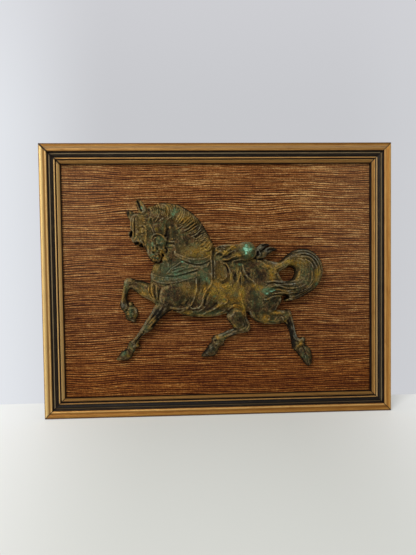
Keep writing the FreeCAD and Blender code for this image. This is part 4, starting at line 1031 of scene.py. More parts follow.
OCHRE = [
    (5, 131.6, 3, 1.3, 1.5), (0.6, 127.6, 3, 1.3, 1.5), (-3, 147, 12, 9, 0.9),
    (12, 147, 9, 7, 0.8), (4, 137, 9, 5, 0.5), (15, 132, 8, 4, 0.6), (-11, 141, 4, 4, 0.5),
    (24.4, 137, 2.4, 9, 2.2), (27.4, 124, 2.2, 7, 2.2), (17, 126, 8, 1.8, 1.3),
    (26.4, 143, 3, 6, 0.9), (2, 126.6, 6, 3, 0.7), (-82.4, 203, 1.6, 4, 0.5),
    (-85.3, 212.3, 2, 2, 0.4), (-96.2, 216, 1, 8, 0.7), (-69.6, 213, 1.6, 2, 1.0),
    (-64.6, 187, 1.8, 1.6, 1.8), (-62.6, 184, 1.6, 1.8, 1.5), (-72, 189.8, 1.2, 1.2, 1.0),
    (60.4, 160, 3.6, 6, 1.5), (62.6, 167.6, 3.4, 2.2, 1.3), (55, 170.6, 4.6, 1.5, 1.1),
    (112, 160, 2.6, 4, 1.2), (114, 165, 2.4, 5, 0.8), (95, 174, 5, 1.6, 0.8),
    (84, 172.4, 4, 1.4, 1.1), (78, 176, 4, 1.6, 1.2), (70, 172.4, 3, 2, 0.8), (88, 158, 2, 5, 0.5),
    (8, 187.4, 3.4, 2, 2.0), (14, 192.2, 4, 1.8, 2.0), (20, 184, 4, 2, 1.1),
    (38.6, 178.6, 3, 1.4, 1.0), (-25, 188, 15, 6, 0.7), (-38, 226, 12, 5, 0.9),
    (-13, 193, 7, 8, 0.7), (80, 173, 9, 5, 0.4), (92, 175, 11, 6, 0.3), (113, 158, 4.4, 7, 0.7),
    (-77, 142, 2.6, 9, 0.9), (-87, 141, 4.6, 3.4, 1.0), (-72, 170, 4, 5, 0.6),
    (-88, 223, 5.4, 6, 0.35), (-87, 212, 4.6, 4.6, 0.5), (-63, 184, 3.4, 4.6, 1.0),
    (-36, 119, 5, 1.8, 1.3), (-20, 115.6, 6, 1.4, 1.2), (-27, 142, 2, 6, 0.8),
    (-17, 146, 2, 5, 0.8), (-37, 146, 6, 6, 0.5), (52, 111, 4, 3.4, 1.1), (66, 116.8, 6, 1.6, 1.3),
    (76, 107, 3, 1.6, 1.0), (39, 148, 6, 2.6, 0.9), (46, 146, 3.4, 2.2, 1.1),
    (-57, 235, 2, 6, 1.0), (16.6, 102.6, 2, 1.4, 1.6), (-2.4, 90, 1.6, 1.4, 1.8),
    (2, 166, 5, 8, 0.45), (13.4, 160, 1.2, 4, 0.9), (21, 167, 1.6, 4, 0.9),
    (23.4, 160, 1.4, 4, 1.0), (27.6, 158, 1.4, 5, 0.8), (-76.5, 110, 2.4, 5, 0.7),
    (-80, 101.6, 2.4, 2, 0.9), (-104, 69.8, 3, 1.8, 1.1), (-93.4, 82.6, 1.8, 1.6, 0.8),
    (-100.6, 130, 1.8, 1.8, 0.7), (-95.6, 116, 1.6, 3, 0.6), (94, 80.4, 1.8, 3, 1.2),
    (89.4, 77.6, 2, 2, 0.9), (-109, 71.4, 2.4, 1.2, 0.8), (3.4, 89.4, 2.2, 1.6, 1.3),
    (8, 91, 3, 1.2, 0.8), (-90, 93, 1.4, 3, 0.6)]
# Dark patches: dirt, and painted shadow where holes, undersides of the legs and the tail's lower
# edge lie in shade.
GRIME_AND_SHADOW = [
    (25, 199.6, 5, 1.0, 1.1), (33, 200.6, 4, 1.0, 1.3), (39.4, 198, 2, 1.3, 1.3),
    (41.8, 194.4, 1.0, 2.2, 1.1), (-45, 125, 15, 4.6, 0.5), (-68, 117, 7, 6, 0.9),
    (33, 114, 2.6, 5, 1.6), (20, 112, 7, 9, 0.45), (76, 135.5, 4, 2.2, 1.8),
    (95, 138, 14, 3.6, 1.1), (-11, 129, 7, 5.4, 0.7), (-40, 133, 8, 4, 0.4),
    (54.6, 194.8, 6, 1.6, 2.4), (63.4, 189.8, 6.4, 1.7, 2.4), (52, 190, 9, 7, 0.7),
    (-98.6, 207.8, 1.8, 2.6, 1.8), (-93, 198, 2.6, 1.7, 2.0), (-87.5, 196.5, 2.2, 1.7, 2.0),
    (-77, 180, 1.5, 1.1, 1.5), (-71.5, 177, 1.6, 1.1, 1.5), (-59, 189, 1.6, 2.5, 1.5),
    (-59.5, 206.5, 1.2, 2, 1.4), (9, 182, 5.4, 1.5, 0.9), (1, 184.2, 3, 1.3, 0.9),
    (4, 193, 6, 1.2, 0.8), (1, 192.4, 1.8, 1.2, 1.2), (12.2, 185, 1.8, 1.2, 1.0),
    (14, 177.6, 9, 1.2, 0.6), (44.4, 185, 1.7, 2.2, 1.2), (45, 180.6, 4.6, 2, 0.5),
    (-89.4, 241, 1.6, 5, 1.2), (-90.6, 247, 2.2, 1.6, 1.2), (-102, 232, 3.4, 4.4, 0.8),
    (-63.4, 185.4, 1.6, 2.6, 1.4), (47.8, 155.6, 9, 2, 0.3), (46, 160.6, 7.4, 5.6, 0.6),
    (62, 133.4, 5, 2.6, 0.5), (81, 102, 3.4, 8, 2.2), (84.6, 90, 3.6, 8, 2.2),
    (86, 79.6, 2.6, 3, 1.1), (-11, 76, 10, 8, 0.85), (101, 64, 5, 9, 0.45),
    (84.4, 80, 2.4, 3, 1.6), (-75, 117, 3, 4, 0.7), (-89, 91, 4.6, 4.6, 1.0),
    (-86, 97, 5, 8, 0.45), (96, 76, 2, 5, 0.8), (-75, 105, 3, 3.6, 0.8), (-67, 118, 5, 6, 1.0),
    (-110, 70, 9, 5, 0.6), (-80, 108, 4, 5, 0.5), (-106.4, 75.4, 2.4, 2, 0.8),
    (-110, 127, 3, 4, 0.7), (-99, 113, 6, 5, 0.5), (-98.8, 121, 1.8, 2.2, 1.0),
    (-107, 140, 2.4, 8, 0.6), (-94, 87, 14, 12, 0.2), (-4, 87, 4, 2, 0.9), (8, 94, 14, 5, 0.25),
    (34, 146, 10, 16, 0.15), (48, 122, 14, 8, 0.25), (17, 158, 2.4, 4.4, 0.7),
    (9, 168, 1.6, 5, 0.6), (3.6, 153, 3.4, 1.8, 0.7), (8.6, 155, 2.4, 1.4, 0.6),
    (24, 154, 1.2, 4.4, 0.8), (-42, 203, 7, 8, 0.3), (34, 163, 1.8, 4, 0.6), (-97, 233, 2, 2, 0.3)]
OLIVE = [
    (12.6, 142, 3, 4, 1.2), (-1, 134, 4, 3, 0.8), (38, 190, 2, 5, 1.0), (-25, 177, 18, 4.4, 1.5),
    (-8, 118, 20, 4, 0.5), (50, 131, 18, 9, 0.7), (-72, 160, 6, 4, 0.8), (100, 160, 9, 12, 0.5),
    (-44, 195, 8, 9, 0.4), (-62, 176, 6, 6, 0.8), (-20, 163, 6, 10, 0.7), (20, 160, 5, 10, 0.5),
    (-68, 197, 7, 8, 0.8), (34, 188, 9, 9, 0.8), (44, 184, 5, 5, 0.8), (-52, 158, 28, 4.6, 1.5),
    (72, 171, 5, 2, 0.9), (62, 107, 10, 3, 0.8), (16, 139, 5, 5, 0.7), (-104, 118, 4, 8, 0.5)]
SLATE = [
    (110, 176, 9, 12, 0.9), (96, 186, 14, 5, 0.9), (84, 183, 6, 4, 0.5), (66, 152, 18, 3, 0.9),
    (86, 150, 10, 6, 0.6), (64, 174.6, 9, 3, 0.8), (50, 192, 9, 6, 1.0), (62, 188, 8, 4, 1.0),
    (-92, 95, 8, 9, 0.6), (-76, 121, 4, 9, 0.6), (-84, 107, 3, 6, 0.6), (-102, 85, 3, 3, 0.7),
    (86, 98, 5, 13, 0.9), (92, 88, 5, 3, 0.9), (31, 108, 4, 8, 0.8), (4, 97, 14, 4, 0.7),
    (20, 102.4, 3, 1.6, 0.9), (70, 120.4, 12, 2, 0.9), (-110, 128, 3, 4, 0.9),
    (-48, 168, 18, 9, 1.0), (-50, 157, 26, 4, 0.9), (-14, 164, 6, 8, 0.5), (-22, 178, 12, 4, 0.6),
    (-55, 140, 6, 8, 0.4), (-8, 175, 3, 16, 0.4), (-30, 230, 12, 5, 0.5), (-16, 214, 4, 12, 0.7),
    (14, 95.6, 8, 4, 0.4), (-12, 76, 7, 6, 0.9), (100, 76, 4, 4, 0.8), (30, 158, 4, 8, 0.6),
    (-66, 128, 5, 6, 0.5), (35, 197, 7, 3, 0.6), (10, 195, 10, 2, 0.6), (44.6, 185, 4, 5, 0.7)]


def patches(s, table):
    """The sum of a table's patches, their edges broken up, the wide ones the most."""
    drift_x = value_noise(s.x / 4 + 60, s.z / 4 + 60, 71) - 0.5
    drift_z = value_noise(s.x / 4 + 60, s.z / 4 + 60, 72) - 0.5
    total = np.zeros(s.x.shape)
    for centre_x, centre_z, wide, high, amount in table:
        shift = min(5.0, 1.1 * min(wide, high))
        across = (s.x + shift * drift_x - centre_x) / wide
        up = (s.z + shift * drift_z - centre_z) / high
        total += amount * np.exp(-across ** 2 - up ** 2)
    return total


BAND = 3 * STEP             # distances are kept up to this far from the surface
THINNING = 0.15             # how far the mesh is thinned where it is even


def relief_field(s):
    """Signed distance to the relief's surface, one layer of cells for each height."""
    heights = np.arange(-BAND, float(s.height.max()) + 2, STEP)
    slope_x, slope_z = np.gradient(np.where(s.height > 0, s.height, 0), STEP)
    steep = np.sqrt(1 + slope_x ** 2 + slope_z ** 2)
    over = (heights[None, :, None] - s.height[:, None, :]) / steep[:, None, :]
    field = np.maximum(over, -s.inside[:, None, :])
    field = np.maximum(field, -heights[None, :, None])
    return np.clip(field, -BAND, BAND).astype(np.float32)


def relief_mesh(s, material):
    """The relief as one closed mesh, flat on the board's side."""
    grid = openvdb.FloatGrid(background=BAND)
    grid.copyFromArray(relief_field(s))
    points, triangles, quads = grid.convertToPolygons(isovalue=0.0, adaptivity=THINNING)
    x = LOW[0] + points[:, 0] * STEP
    y = BAND - points[:, 1] * STEP
    z = LOW[1] + points[:, 2] * STEP
    piece = mesh_object("horse_relief", (np.stack([x, y, z], 1) * MM).tolist(),
                        quads.tolist() + triangles.tolist(), material)
    i = np.clip(np.rint(points[:, 0]).astype(int), 0, s.x.shape[0] - 1)
    k = np.clip(np.rint(points[:, 2]).astype(int), 0, s.x.shape[1] - 1)
    add_relief_values(s, piece, (i, k))
    return piece


def add_relief_values(s, piece, cells):
    """For the patina, its painted shade and its painted highlight: how far each point lies in a
    recess or fold, and which patches it is in.
    """
    there = s.height > PARTING
    filled = np.where(there, s.height, 0)
    for name, radius, depth in (("recess", 1.0, 0.45), ("fold", 3.0, 1.7)):
        weight = np.maximum(blur(there.astype(float), radius / STEP), TINY)
        dip = (blur(filled, radius / STEP) / weight - s.height) / depth
        add_attribute(piece, name, np.clip(dip, -1, 1)[cells])
    for name, table in (("verdigris", VERDIGRIS), ("ochre", OCHRE), ("grime_and_shadow", GRIME_AND_SHADOW),
                        ("olive", OLIVE), ("slate", SLATE)):
        add_attribute(piece, name, patches(s, table)[cells])


def patina_ground(p, where, broad, blotch):
    """Olive and brown in large blotches, with the green and slate patches."""
    other = p.noise(p.place((1.0, 1.0, 0.6)), 0.46, 4, 0.62, 0.8)
    shade = p.noise(where, 0.07, 3, 0.6, 0.5)
    base = p.mix(p.ramp(broad, 0.44, 0.56), (90, 63, 33), (68, 75, 45))
    base = p.mix(p.ramp(other, 0.5, 0.62, 0.0, 0.75), base, (124, 98, 50))
    base = p.mix(p.ramp(blotch, 0.5, 0.6, 0.0, 0.9), base, (42, 36, 20))
    base = p.mix(p.ramp(blotch, 0.45, 0.34, 0.0, 0.65), base, (118, 106, 68))
    base = p.mix(p.ramp(shade, 0.54, 0.44, 0.0, 0.75), base, (120, 112, 100), "MULTIPLY")
    olive = p.times(p.attribute("olive"), p.ramp(blotch, 0.3, 0.6), clamp=True)
    slate = p.times(p.attribute("slate"), p.ramp(blotch, 0.3, 0.55), clamp=True)
    base = p.mix(p.times(olive, 0.75), base, (54, 62, 38))
    return p.mix(p.times(slate, 0.6), base, (54, 54, 42)), slate


def patina_wear_and_highlight(p, base, broad, blotch, fine, recess, slate):
    """Rust-yellow patches, and the ridges lighter: rubbed wear with a painted highlight."""
    rust = p.times(p.attribute("ochre"), p.ramp(blotch, 0.4, 0.56, 0.15, 1.0))
    speckle = p.times(p.ramp(fine, 0.5, 0.62), p.ramp(broad, 0.46, 0.58))
    rust = p.plus(rust, p.times(speckle, 0.3), clamp=True)
    rusty = p.mix(p.ramp(broad, 0.44, 0.56), (138, 115, 38), (152, 109, 29))
    base = p.mix(p.times(rust, 0.88), base, rusty)
    tint = p.mix(p.ramp(broad, 0.42, 0.55), (150, 142, 108), (168, 128, 64))
    tint = p.mix(slate, tint, (132, 132, 116))
    tint = p.mix(p.times(rust, 0.75), tint, (186, 142, 58))
    # Painted highlight with rubbed wear: the ridges lighter.
    rub = p.times(p.ramp(recess, -0.1, -0.8), p.ramp(blotch, 0.36, 0.54, 0.35, 1.0))
    return p.mix(p.times(rub, 0.64), base, tint)


def patina_bloom(p, base, blotch, fine):
    """Verdigris, from a green stain to mint at its thickest."""
    bloom = p.times(p.attribute("verdigris"), p.ramp(blotch, 0.34, 0.56, 0.4, 1.1))
    bloom = p.times(bloom, p.ramp(fine, 0.38, 0.6, 0.7, 1.15))
    for low, high, amount, tone in ((0.1, 0.6, 0.6, (76, 94, 62)), (0.55, 1.0, 0.65, (84, 130, 98)),
                                    (1.0, 1.5, 0.85, (150, 208, 176))):
        base = p.mix(p.times(p.ramp(bloom, low, high), amount), base, tone)
    return base


def patina_grime_and_shade(p, base, where, recess):
    """Dirt and painted shade in recesses and folds, painted shade down the sides near the board,
    and patches of dirt and painted shadow.
    """
    _, y, _ = p.axes(where)
    # Painted shade, with dirt, in recesses and folds.
    dark = p.times(p.ramp(recess, 0.3, 1.0), 0.55)
    dark = p.plus(dark, p.times(p.ramp(p.attribute("fold"), 0.3, 1.0), 0.35))
    # Painted shade down the sides, near the board.
    dark = p.plus(dark, p.ramp(y, -5.5, -1.5, 0.0, 0.8))
    # Patches of dirt and painted shadow.
    grime_and_shadow = p.times(p.attribute("grime_and_shadow"), p.ramp(recess, -0.6, 0.0, 0.5, 1.0))
    dark = p.plus(dark, grime_and_shadow, clamp=True)
    return p.mix(p.times(dark, 0.94), base, (16, 12, 6))


def patina_paint():
    """Brass under an old olive-brown patina, with rust-yellow and green blooms, ridges lighter with
    wear and a painted highlight, and hollows dark with dirt and painted shade.
    """
    p = Paint("patina_brass")
    where = p.place()
    broad = p.noise(where, 0.12, 4, 0.6, 0.6)
    blotch = p.noise(where, 0.3, 4, 0.6, 1.2)
    fine = p.noise(where, 0.9, 3, 0.6)
    recess = p.attribute("recess")
    base, slate = patina_ground(p, where, broad, blotch)
    base = patina_wear_and_highlight(p, base, broad, blotch, fine, recess, slate)
    base = patina_bloom(p, base, blotch, fine)
    base = patina_grime_and_shade(p, base, where, recess)
    base = p.mix(p.ramp(fine, 0.42, 0.66, 0.0, 0.7), base, (92, 80, 60), "MULTIPLY")
    rough = p.ramp(fine, 0.3, 0.7, 0.5, 0.75)
    normal = p.bump(blotch, 1.5, p.bump(fine, 0.5))
    return p.finish(base, rough, normal, metallic=0.15, specular=0.1)


# The cloth behind the horse: coarse grass strands, close together, laid across the board

SHEET_WIDTH = 366.0
SHEET_HEIGHT = 277.0
STRAND_PITCH = 2.45
SHEET_COLUMN = 2.3          # spacing of the points along a strand
ROW_JUMP = 7.31             # strands lie this far apart in the noise that wavers them
GROUND = 0.4                # depth of the gaps between strands
RISE = 0.75                 # height of a plain strand above them
RIM = 6.0                   # the sheet lies flat this far in from its edge, under the frame's lip
RIM_DEPTH = 0.05
# A strand's section: place across its width, and share of its height.
SECTION = ((-0.47, 0.45), (-0.24, 0.95), (0.24, 0.98), (0.47, 0.45))


def strands(x):
    """The middle, width, height and tone of every strand along x."""
    count = int(SHEET_HEIGHT / STRAND_PITCH)
    dice = np.random.default_rng(31)
    pitch = 0.8 + 0.4 * dice.random(count)
    pitch *= SHEET_HEIGHT / pitch.sum()
    centre = np.cumsum(pitch) - pitch / 2
    table = []
    for k in range(count):
        row = np.full(x.shape, k * ROW_JUMP)
        wave = value_noise(x / 26 + 9, row, 51) + 0.6 * value_noise(x / 9 + 9, row, 52) - 0.8
        slub = value_noise(x / 30 + 9, row, 53) ** 3 * 1.1 + 0.35 * value_noise(x / 9 + 9, row, 54)
        drift = value_noise(x / 50 + 9, row / ROW_JUMP / 8 + 3, 57) - 0.5
        middle = centre[k] + 0.85 * wave + 4.4 * drift
        shade = 0.2 * dice.random() + 0.32 * value_noise(x / 20 + 9, row, 55)
        tone = shade + 0.28 * value_noise(x / 6 + 9, row, 56) + 0.08
        table.append((middle, pitch[k] * (0.54 + 0.36 * slub), 0.55 + 0.6 * slub, tone))
    return table


def grasscloth(material):
    """Each strand is a row of its own, wavering in place and width; the gaps lie lower."""
    low = (FRAME_HEIGHT - SHEET_HEIGHT) / 2
    columns = int(SHEET_WIDTH / SHEET_COLUMN) + 1
    x = np.linspace(-SHEET_WIDTH / 2, SHEET_WIDTH / 2, columns)
    table = strands(x)
    none, ground = np.zeros(columns), np.full(columns, GROUND)
    lines = [(none, ground, table[0][3], none)]
    for k, (middle, width, lift, tone) in enumerate(table):
        for place, share in SECTION:
            lines.append((middle + place * width, GROUND - RISE * lift * share, tone, none + share))
        after = none + SHEET_HEIGHT
        if k + 1 < len(table):
            after = table[k + 1][0] - 0.5 * table[k + 1][1]
        lines.append(((middle + 0.5 * width + after) / 2, ground, tone, none))
    z, y, tones, crests = (np.array(values) for values in zip(*lines))
    z = np.clip(np.maximum.accumulate(z, axis=0), 0, SHEET_HEIGHT)
    edge = np.minimum(SHEET_WIDTH / 2 - np.abs(x)[None, :], np.minimum(z, SHEET_HEIGHT - z))
    y = np.where(edge < RIM, np.maximum(y, RIM_DEPTH), y)
    points = np.stack([np.broadcast_to(x, z.shape), y, z + low], -1).reshape(-1, 3) * MM
    _, faces = quad_grid(len(lines), columns)
    piece = mesh_object("grasscloth", points.tolist(), faces.tolist(), material)
    add_attribute(piece, "tone", tones.ravel())
    add_attribute(piece, "crest", crests.ravel())
    return piece


def grasscloth_paint():
    """Strands in browns from straw to rust, with near-black gaps between them, painted shade
    towards the bottom, painted light towards the right and a painted sheen at the upper corners.
    """
    p = Paint("grasscloth")
    x, _, z = p.axes(p.place())
    fibre = p.noise(p.place((0.13, 1.0, 2.2)), 1.0, 4, 0.65)
    fleck = p.noise(p.place((0.5, 1.0, 1.3)), 1.0, 3, 0.6)
    warp = p.noise(p.place((0.8, 1.0, 0.1)), 1.0, 2, 0.5)
    cloud = p.noise(p.place((0.014, 1.0, 0.05)), 1.0, 3, 0.6)
    calm = p.noise(p.place((0.07, 1.0, 0.4)), 1.0, 4, 0.65)
    tone = p.attribute("tone")
    for value, share in ((fibre, 0.9), (fleck, 1.5), (warp, 0.5), (cloud, 0.7)):
        tone = p.plus(tone, p.times(p.math("SUBTRACT", value, 0.5), share))
    # Painted shade: the cloth darker towards the bottom.
    tone = p.plus(tone, p.ramp(z, 40, 270, -0.12, 0.04))
    # Painted light: the cloth lighter towards the right.
    tone = p.plus(tone, p.ramp(x, 50, 180, 0.0, 0.06))
    low_left = p.times(p.ramp(x, -60, -170), p.ramp(z, 120, 60))
    tone = p.plus(tone, p.times(low_left, 0.1))
    base = p.mix(p.ramp(tone, 0.1, 0.5), (82, 43, 17), (127, 79, 37))
    base = p.mix(p.ramp(tone, 0.5, 0.98), base, (184, 141, 86))
    gap = p.times(p.ramp(p.attribute("crest"), 0.94, 0.4), p.ramp(calm, 0.38, 0.56, 0.62, 1.0))
    base = p.mix(p.times(gap, 0.97), base, (40, 9, 1))
    # Painted sheen: the cloth paler and greyer towards the upper corners.
    corner = p.times(p.ramp(p.math("ABSOLUTE", x), 70, 170), p.ramp(z, 60, 220))
    base = p.mix(p.times(corner, 0.06), base, (150, 128, 104))
    # Painted shade: darker and warmer near the bottom.
    base = p.mix(p.ramp(z, 100, 35), base, (255, 241, 208), "MULTIPLY")
    return p.finish(base, 0.85, p.bump(fibre, 0.4), specular=0.1)


# The frame's moulding, and what is behind it

def edge_distances(p, x, z):
    """Distances to the nearer side edge of the frame, and to its nearer top or bottom edge."""
    side = p.math("MINIMUM", p.plus(x, FRAME_WIDTH / 2), p.math("SUBTRACT", FRAME_WIDTH / 2, x))
    level = p.math("MINIMUM", z, p.math("SUBTRACT", FRAME_HEIGHT, z))
    return side, level


def rail_masks(p, stile, x, z):
    """Masks of both rails together, the left and right stiles, and the bottom and top rails."""
    rail = p.flip(stile)
    left = p.times(stile, p.math("LESS_THAN", x, 0.0))
    right = p.times(stile, p.math("GREATER_THAN", x, 0.0))
    bottom = p.times(rail, p.math("LESS_THAN", z, FRAME_HEIGHT / 2))
    top = p.times(rail, p.math("GREATER_THAN", z, FRAME_HEIGHT / 2))
    return rail, left, right, bottom, top


def streaks(p, inward, y, along, across, length, detail=4.0):
    """Noise drawn out along the rail."""
    join = p.node("ShaderNodeCombineXYZ")
    for socket, value, scale in zip(join.inputs, (inward, y, along), (across, across, length)):
        p.put(socket, p.times(value, scale))
    return p.noise(join.outputs[0], 1.0, detail, 0.6)


def bands(p, inward, stops):
    """A colour for each distance in from the outer edge, in millimetres."""
    node = p.node("ShaderNodeValToRGB")
    p.put(node.inputs[0], p.math("DIVIDE", inward, RAIL_WIDTH))
    ramp = node.color_ramp
    while len(ramp.elements) < len(stops):
        ramp.elements.new(1.0)
    for element, (place, rgb) in zip(ramp.elements, stops):
        element.position = place / RAIL_WIDTH
        element.color = colour(rgb)
    return node.outputs["Color"]


def between(p, inward, low, high):
    """A soft-edged stripe of the moulding, by its distance in from the outer edge."""
    return p.times(p.ramp(inward, low, low + 0.5), p.ramp(inward, high, high - 0.5))


# The moulding's colours by distance in from its outer edge: a broad gilt cap, a black cove worn
# along its rib, a gilt bead, a black groove and the gilt sight edge. On the cap the bands also
# carry painted light: a painted highlight near its outer crest, painted shade in its furrow and a
# lighter inner edge.
GOLD = (180, 132, 66)
BLACK = (20, 15, 12)
WORN = (122, 106, 76)
MOULDING = [
    (0.0, (70, 44, 20)), (0.8, (100, 66, 32)), (1.5, (184, 140, 72)), (2.7, (198, 154, 82)),
    (4.0, (172, 124, 60)), (5.3, (144, 100, 45)), (6.6, (160, 118, 60)), (7.8, (200, 160, 98)),
    (8.7, GOLD), (9.1, (44, 28, 18)), (9.6, BLACK), (10.4, BLACK), (10.8, WORN), (11.7, WORN),
    (12.1, (20, 15, 13)), (13.0, (20, 15, 13)), (13.4, (50, 42, 28)), (13.8, (18, 13, 12)),
    (15.3, BLACK), (15.75, (206, 164, 98)), (16.7, (196, 152, 86)), (17.1, (96, 60, 32)),
    (17.5, BLACK), (18.05, (24, 14, 10)), (18.3, (220, 176, 104)), (19.1, (206, 162, 92)),
    (19.4, (104, 72, 38)), (19.75, (104, 72, 38)), (20.0, (178, 136, 76)),
    (21.4, (168, 128, 70)), (21.8, (30, 14, 8))]
# Where it is gilt, from 0 to 255.
GILT = [(0.0, 0), (0.9, 0), (1.8, 255), (8.7, 255), (9.2, 0), (15.4, 0), (15.8, 255), (16.7, 255),
        (17.2, 0), (18.1, 0), (18.4, 255), (21.2, 255), (21.7, 0)]


def age_moulding(p, base, gilt, long_grain, mottle, speck):
    """Dull streaks along the rail, the black rubbed to a drab brown, and specks."""
    base = p.mix(p.ramp(long_grain, 0.35, 0.75, 0.0, 0.55), base, (168, 122, 74), "MULTIPLY")
    base = p.mix(p.ramp(mottle, 0.5, 0.8, 0.0, 0.35), base, (176, 140, 96), "MULTIPLY")
    rub = p.times(p.ramp(mottle, 0.52, 0.7), p.flip(gilt))
    base = p.mix(p.times(rub, 0.2), base, (104, 88, 60))
    return p.mix(p.times(p.ramp(speck, 0.66, 0.74), 0.6), base, (70, 44, 24))


def paint_light_by_side(p, base, inward, gilt, z, masks):
    """Painted light and shade, side by side: the top rail darker and the left stile's gilt
    brighter, stripes of painted highlight and shade along each side, painted shade on the lip of
    the right stile and the bottom rail, and the bottom edge dark where it turns under.
    """
    rail, left, right, bottom, top = masks
    # Painted shade: the top rail darker.
    upper = p.times(rail, p.ramp(z, 200, 260))
    base = p.mix(p.times(upper, 0.34), base, (150, 146, 138), "MULTIPLY")
    # Painted light: the left stile's gilt brighter.
    base = p.mix(p.times(p.times(gilt, left), 0.14), base, (255, 230, 160), "SCREEN")
    # Stripes of painted highlight and painted shade, side by side.
    for where, low, high, amount, tone, blend in [
            (left, 1.6, 5.0, 0.2, (255, 230, 160), "SCREEN"),
            (left, 5.1, 7.8, 0.9, (196, 182, 162), "MULTIPLY"),
            (top, 0.6, 3.4, 0.9, (182, 162, 130), "MULTIPLY"),
            (top, 3.8, 6.6, 0.12, (255, 224, 170), "SCREEN"),
            (top, 6.6, 8.4, 0.9, (226, 214, 196), "MULTIPLY"),
            (bottom, 0.8, 6.8, 0.9, (212, 204, 186), "MULTIPLY"),
            (bottom, 16.8, 19.6, 0.7, (120, 104, 84), "MULTIPLY"),
            (bottom, 9.4, 15.4, 0.9, (176, 168, 160), "MULTIPLY"),
            (right, 15.0, 16.9, 0.3, (255, 224, 170), "SCREEN")]:
        stripe = p.times(where, between(p, inward, low, high))
        base = p.mix(p.times(stripe, amount), base, tone, blend)
    # Painted shade on the lip of the right stile and the bottom rail.
    lip = p.times(p.math("MAXIMUM", right, bottom), p.ramp(inward, 19.3, 20.0))
    base = p.mix(lip, base, (200, 196, 186), "MULTIPLY")
    # Painted shade: the bottom edge dark where it turns under.
    return p.mix(p.ramp(z, 2.8, 1.5, 0.0, 0.85), base, (84, 48, 24))


def mitre_seams(p, side, level, x, z):
    """The dark seam of each mitre, a little open at the upper left."""
    open_corner = p.times(p.ramp(x, 0, -150), p.ramp(z, 100, 250))
    seam = p.math("ABSOLUTE", p.math("SUBTRACT", side, level))
    seam = p.math("DIVIDE", seam, p.plus(1.0, open_corner))
    return p.ramp(seam, 0.9, 0.45, 0.0, 0.92)


def show_wood(p, base, inward, outer, y, long_grain):
    """Stain on the outer face, and bare wood in the rabbet and on the back."""
    grain = p.ramp(long_grain, 0.3, 0.7)
    stain = p.mix(grain, (52, 32, 20), (84, 54, 32))
    base = p.mix(p.times(outer, p.ramp(y, -10.4, -8.6)), base, stain)
    rabbet = p.times(p.ramp(y, 0.0, 0.1), p.ramp(inward, 15.9, 15.98))
    bare = p.math("MAXIMUM", p.ramp(y, 10.9, 10.98), rabbet)
    return p.mix(bare, base, p.mix(grain, (176, 134, 88), (206, 170, 122))), bare


def moulding_paint():
    """Gilt cap, bead and sight edge with a black cove and groove, worn along the edges, with
    painted light and shade that differ from side to side.
    """
    p = Paint("gilt_moulding")
    x, y, z = p.axes(p.place())
    side, level = edge_distances(p, x, z)
    inward = p.math("MINIMUM", side, level)
    stile = p.math("LESS_THAN", side, level)
    along = p.plus(p.times(stile, z), p.times(p.flip(stile), x))
    masks = rail_masks(p, stile, x, z)
    right = masks[2]
    long_grain = streaks(p, inward, y, along, 1.4, 0.03)
    mottle = streaks(p, inward, y, along, 0.35, 0.12)
    speck = streaks(p, inward, y, along, 1.6, 0.9, 2.0)
    base = bands(p, p.plus(inward, p.times(right, 0.55)), MOULDING)
    gilt = bands(p, inward, [(place, (tone, tone, tone)) for place, tone in GILT])
    base = age_moulding(p, base, gilt, long_grain, mottle, speck)
    base = paint_light_by_side(p, base, inward, gilt, z, masks)
    seam = mitre_seams(p, side, level, x, z)
    base = p.mix(seam, base, (20, 10, 6))
    outer = p.ramp(inward, 0.12, 0.02)
    base, bare = show_wood(p, base, inward, outer, y, long_grain)
    dull = p.math("MAXIMUM", seam, p.math("MAXIMUM", bare, outer))
    shine = p.times(gilt, p.flip(dull))
    rough = p.plus(p.ramp(long_grain, 0.3, 0.7, 0.5, 0.64), p.ramp(mottle, 0.3, 0.7, -0.06, 0.06))
    normal = p.bump(speck, 0.1, p.bump(long_grain, 0.12))
    return p.finish(base, rough, normal, p.times(shine, 0.45), specular=0.12)


def kraft_paint():
    """Brown paper with fibres, specks and faint laid lines, darker towards its edges."""
    p = Paint("kraft_paper")
    x, _, z = p.axes(p.place())
    fibre = p.noise(p.place((0.35, 1, 3.0)), 1.0, 4, 0.7)
    fleck = p.noise(p.place(), 1.1, 3, 0.6)
    cloud = p.noise(p.place(), 0.03, 3, 0.5)
    laid = p.noise(p.place((0.02, 1, 1.1)), 1.0, 2, 0.5)
    base = p.mix(p.ramp(cloud, 0.3, 0.7), (156, 116, 76), (176, 136, 92))
    base = p.mix(p.ramp(fibre, 0.4, 0.8, 0.0, 0.4), base, (130, 94, 60))
    base = p.mix(p.ramp(fleck, 0.62, 0.72, 0.0, 0.6), base, (92, 64, 40))
    base = p.mix(p.ramp(laid, 0.5, 0.62, 0.0, 0.3), base, (196, 158, 112))
    edge = p.math("MINIMUM", *edge_distances(p, x, z))
    base = p.mix(p.ramp(edge, 18, 5, 0.0, 0.45), base, (120, 84, 52))
    return p.finish(base, 0.85, p.bump(fibre, 0.12))


def steel_paint(name, tint):
    """Spangled or plain steel, a little rusty and scratched."""
    p = Paint(name)
    spangle = p.noise(p.place(), 0.8, 3, 0.6)
    scratch = p.noise(p.place((0.3, 2.0, 3.2)), 1.0, 4, 0.7)
    base = p.mix(p.ramp(spangle, 0.3, 0.7), tint, tuple(c * 0.82 for c in tint))
    base = p.mix(p.ramp(spangle, 0.62, 0.8, 0.0, 0.5), base, (120, 104, 84))
    rough = p.ramp(scratch, 0.3, 0.7, 0.28, 0.46)
    return p.finish(base, rough, p.bump(scratch, 0.04), 0.85)


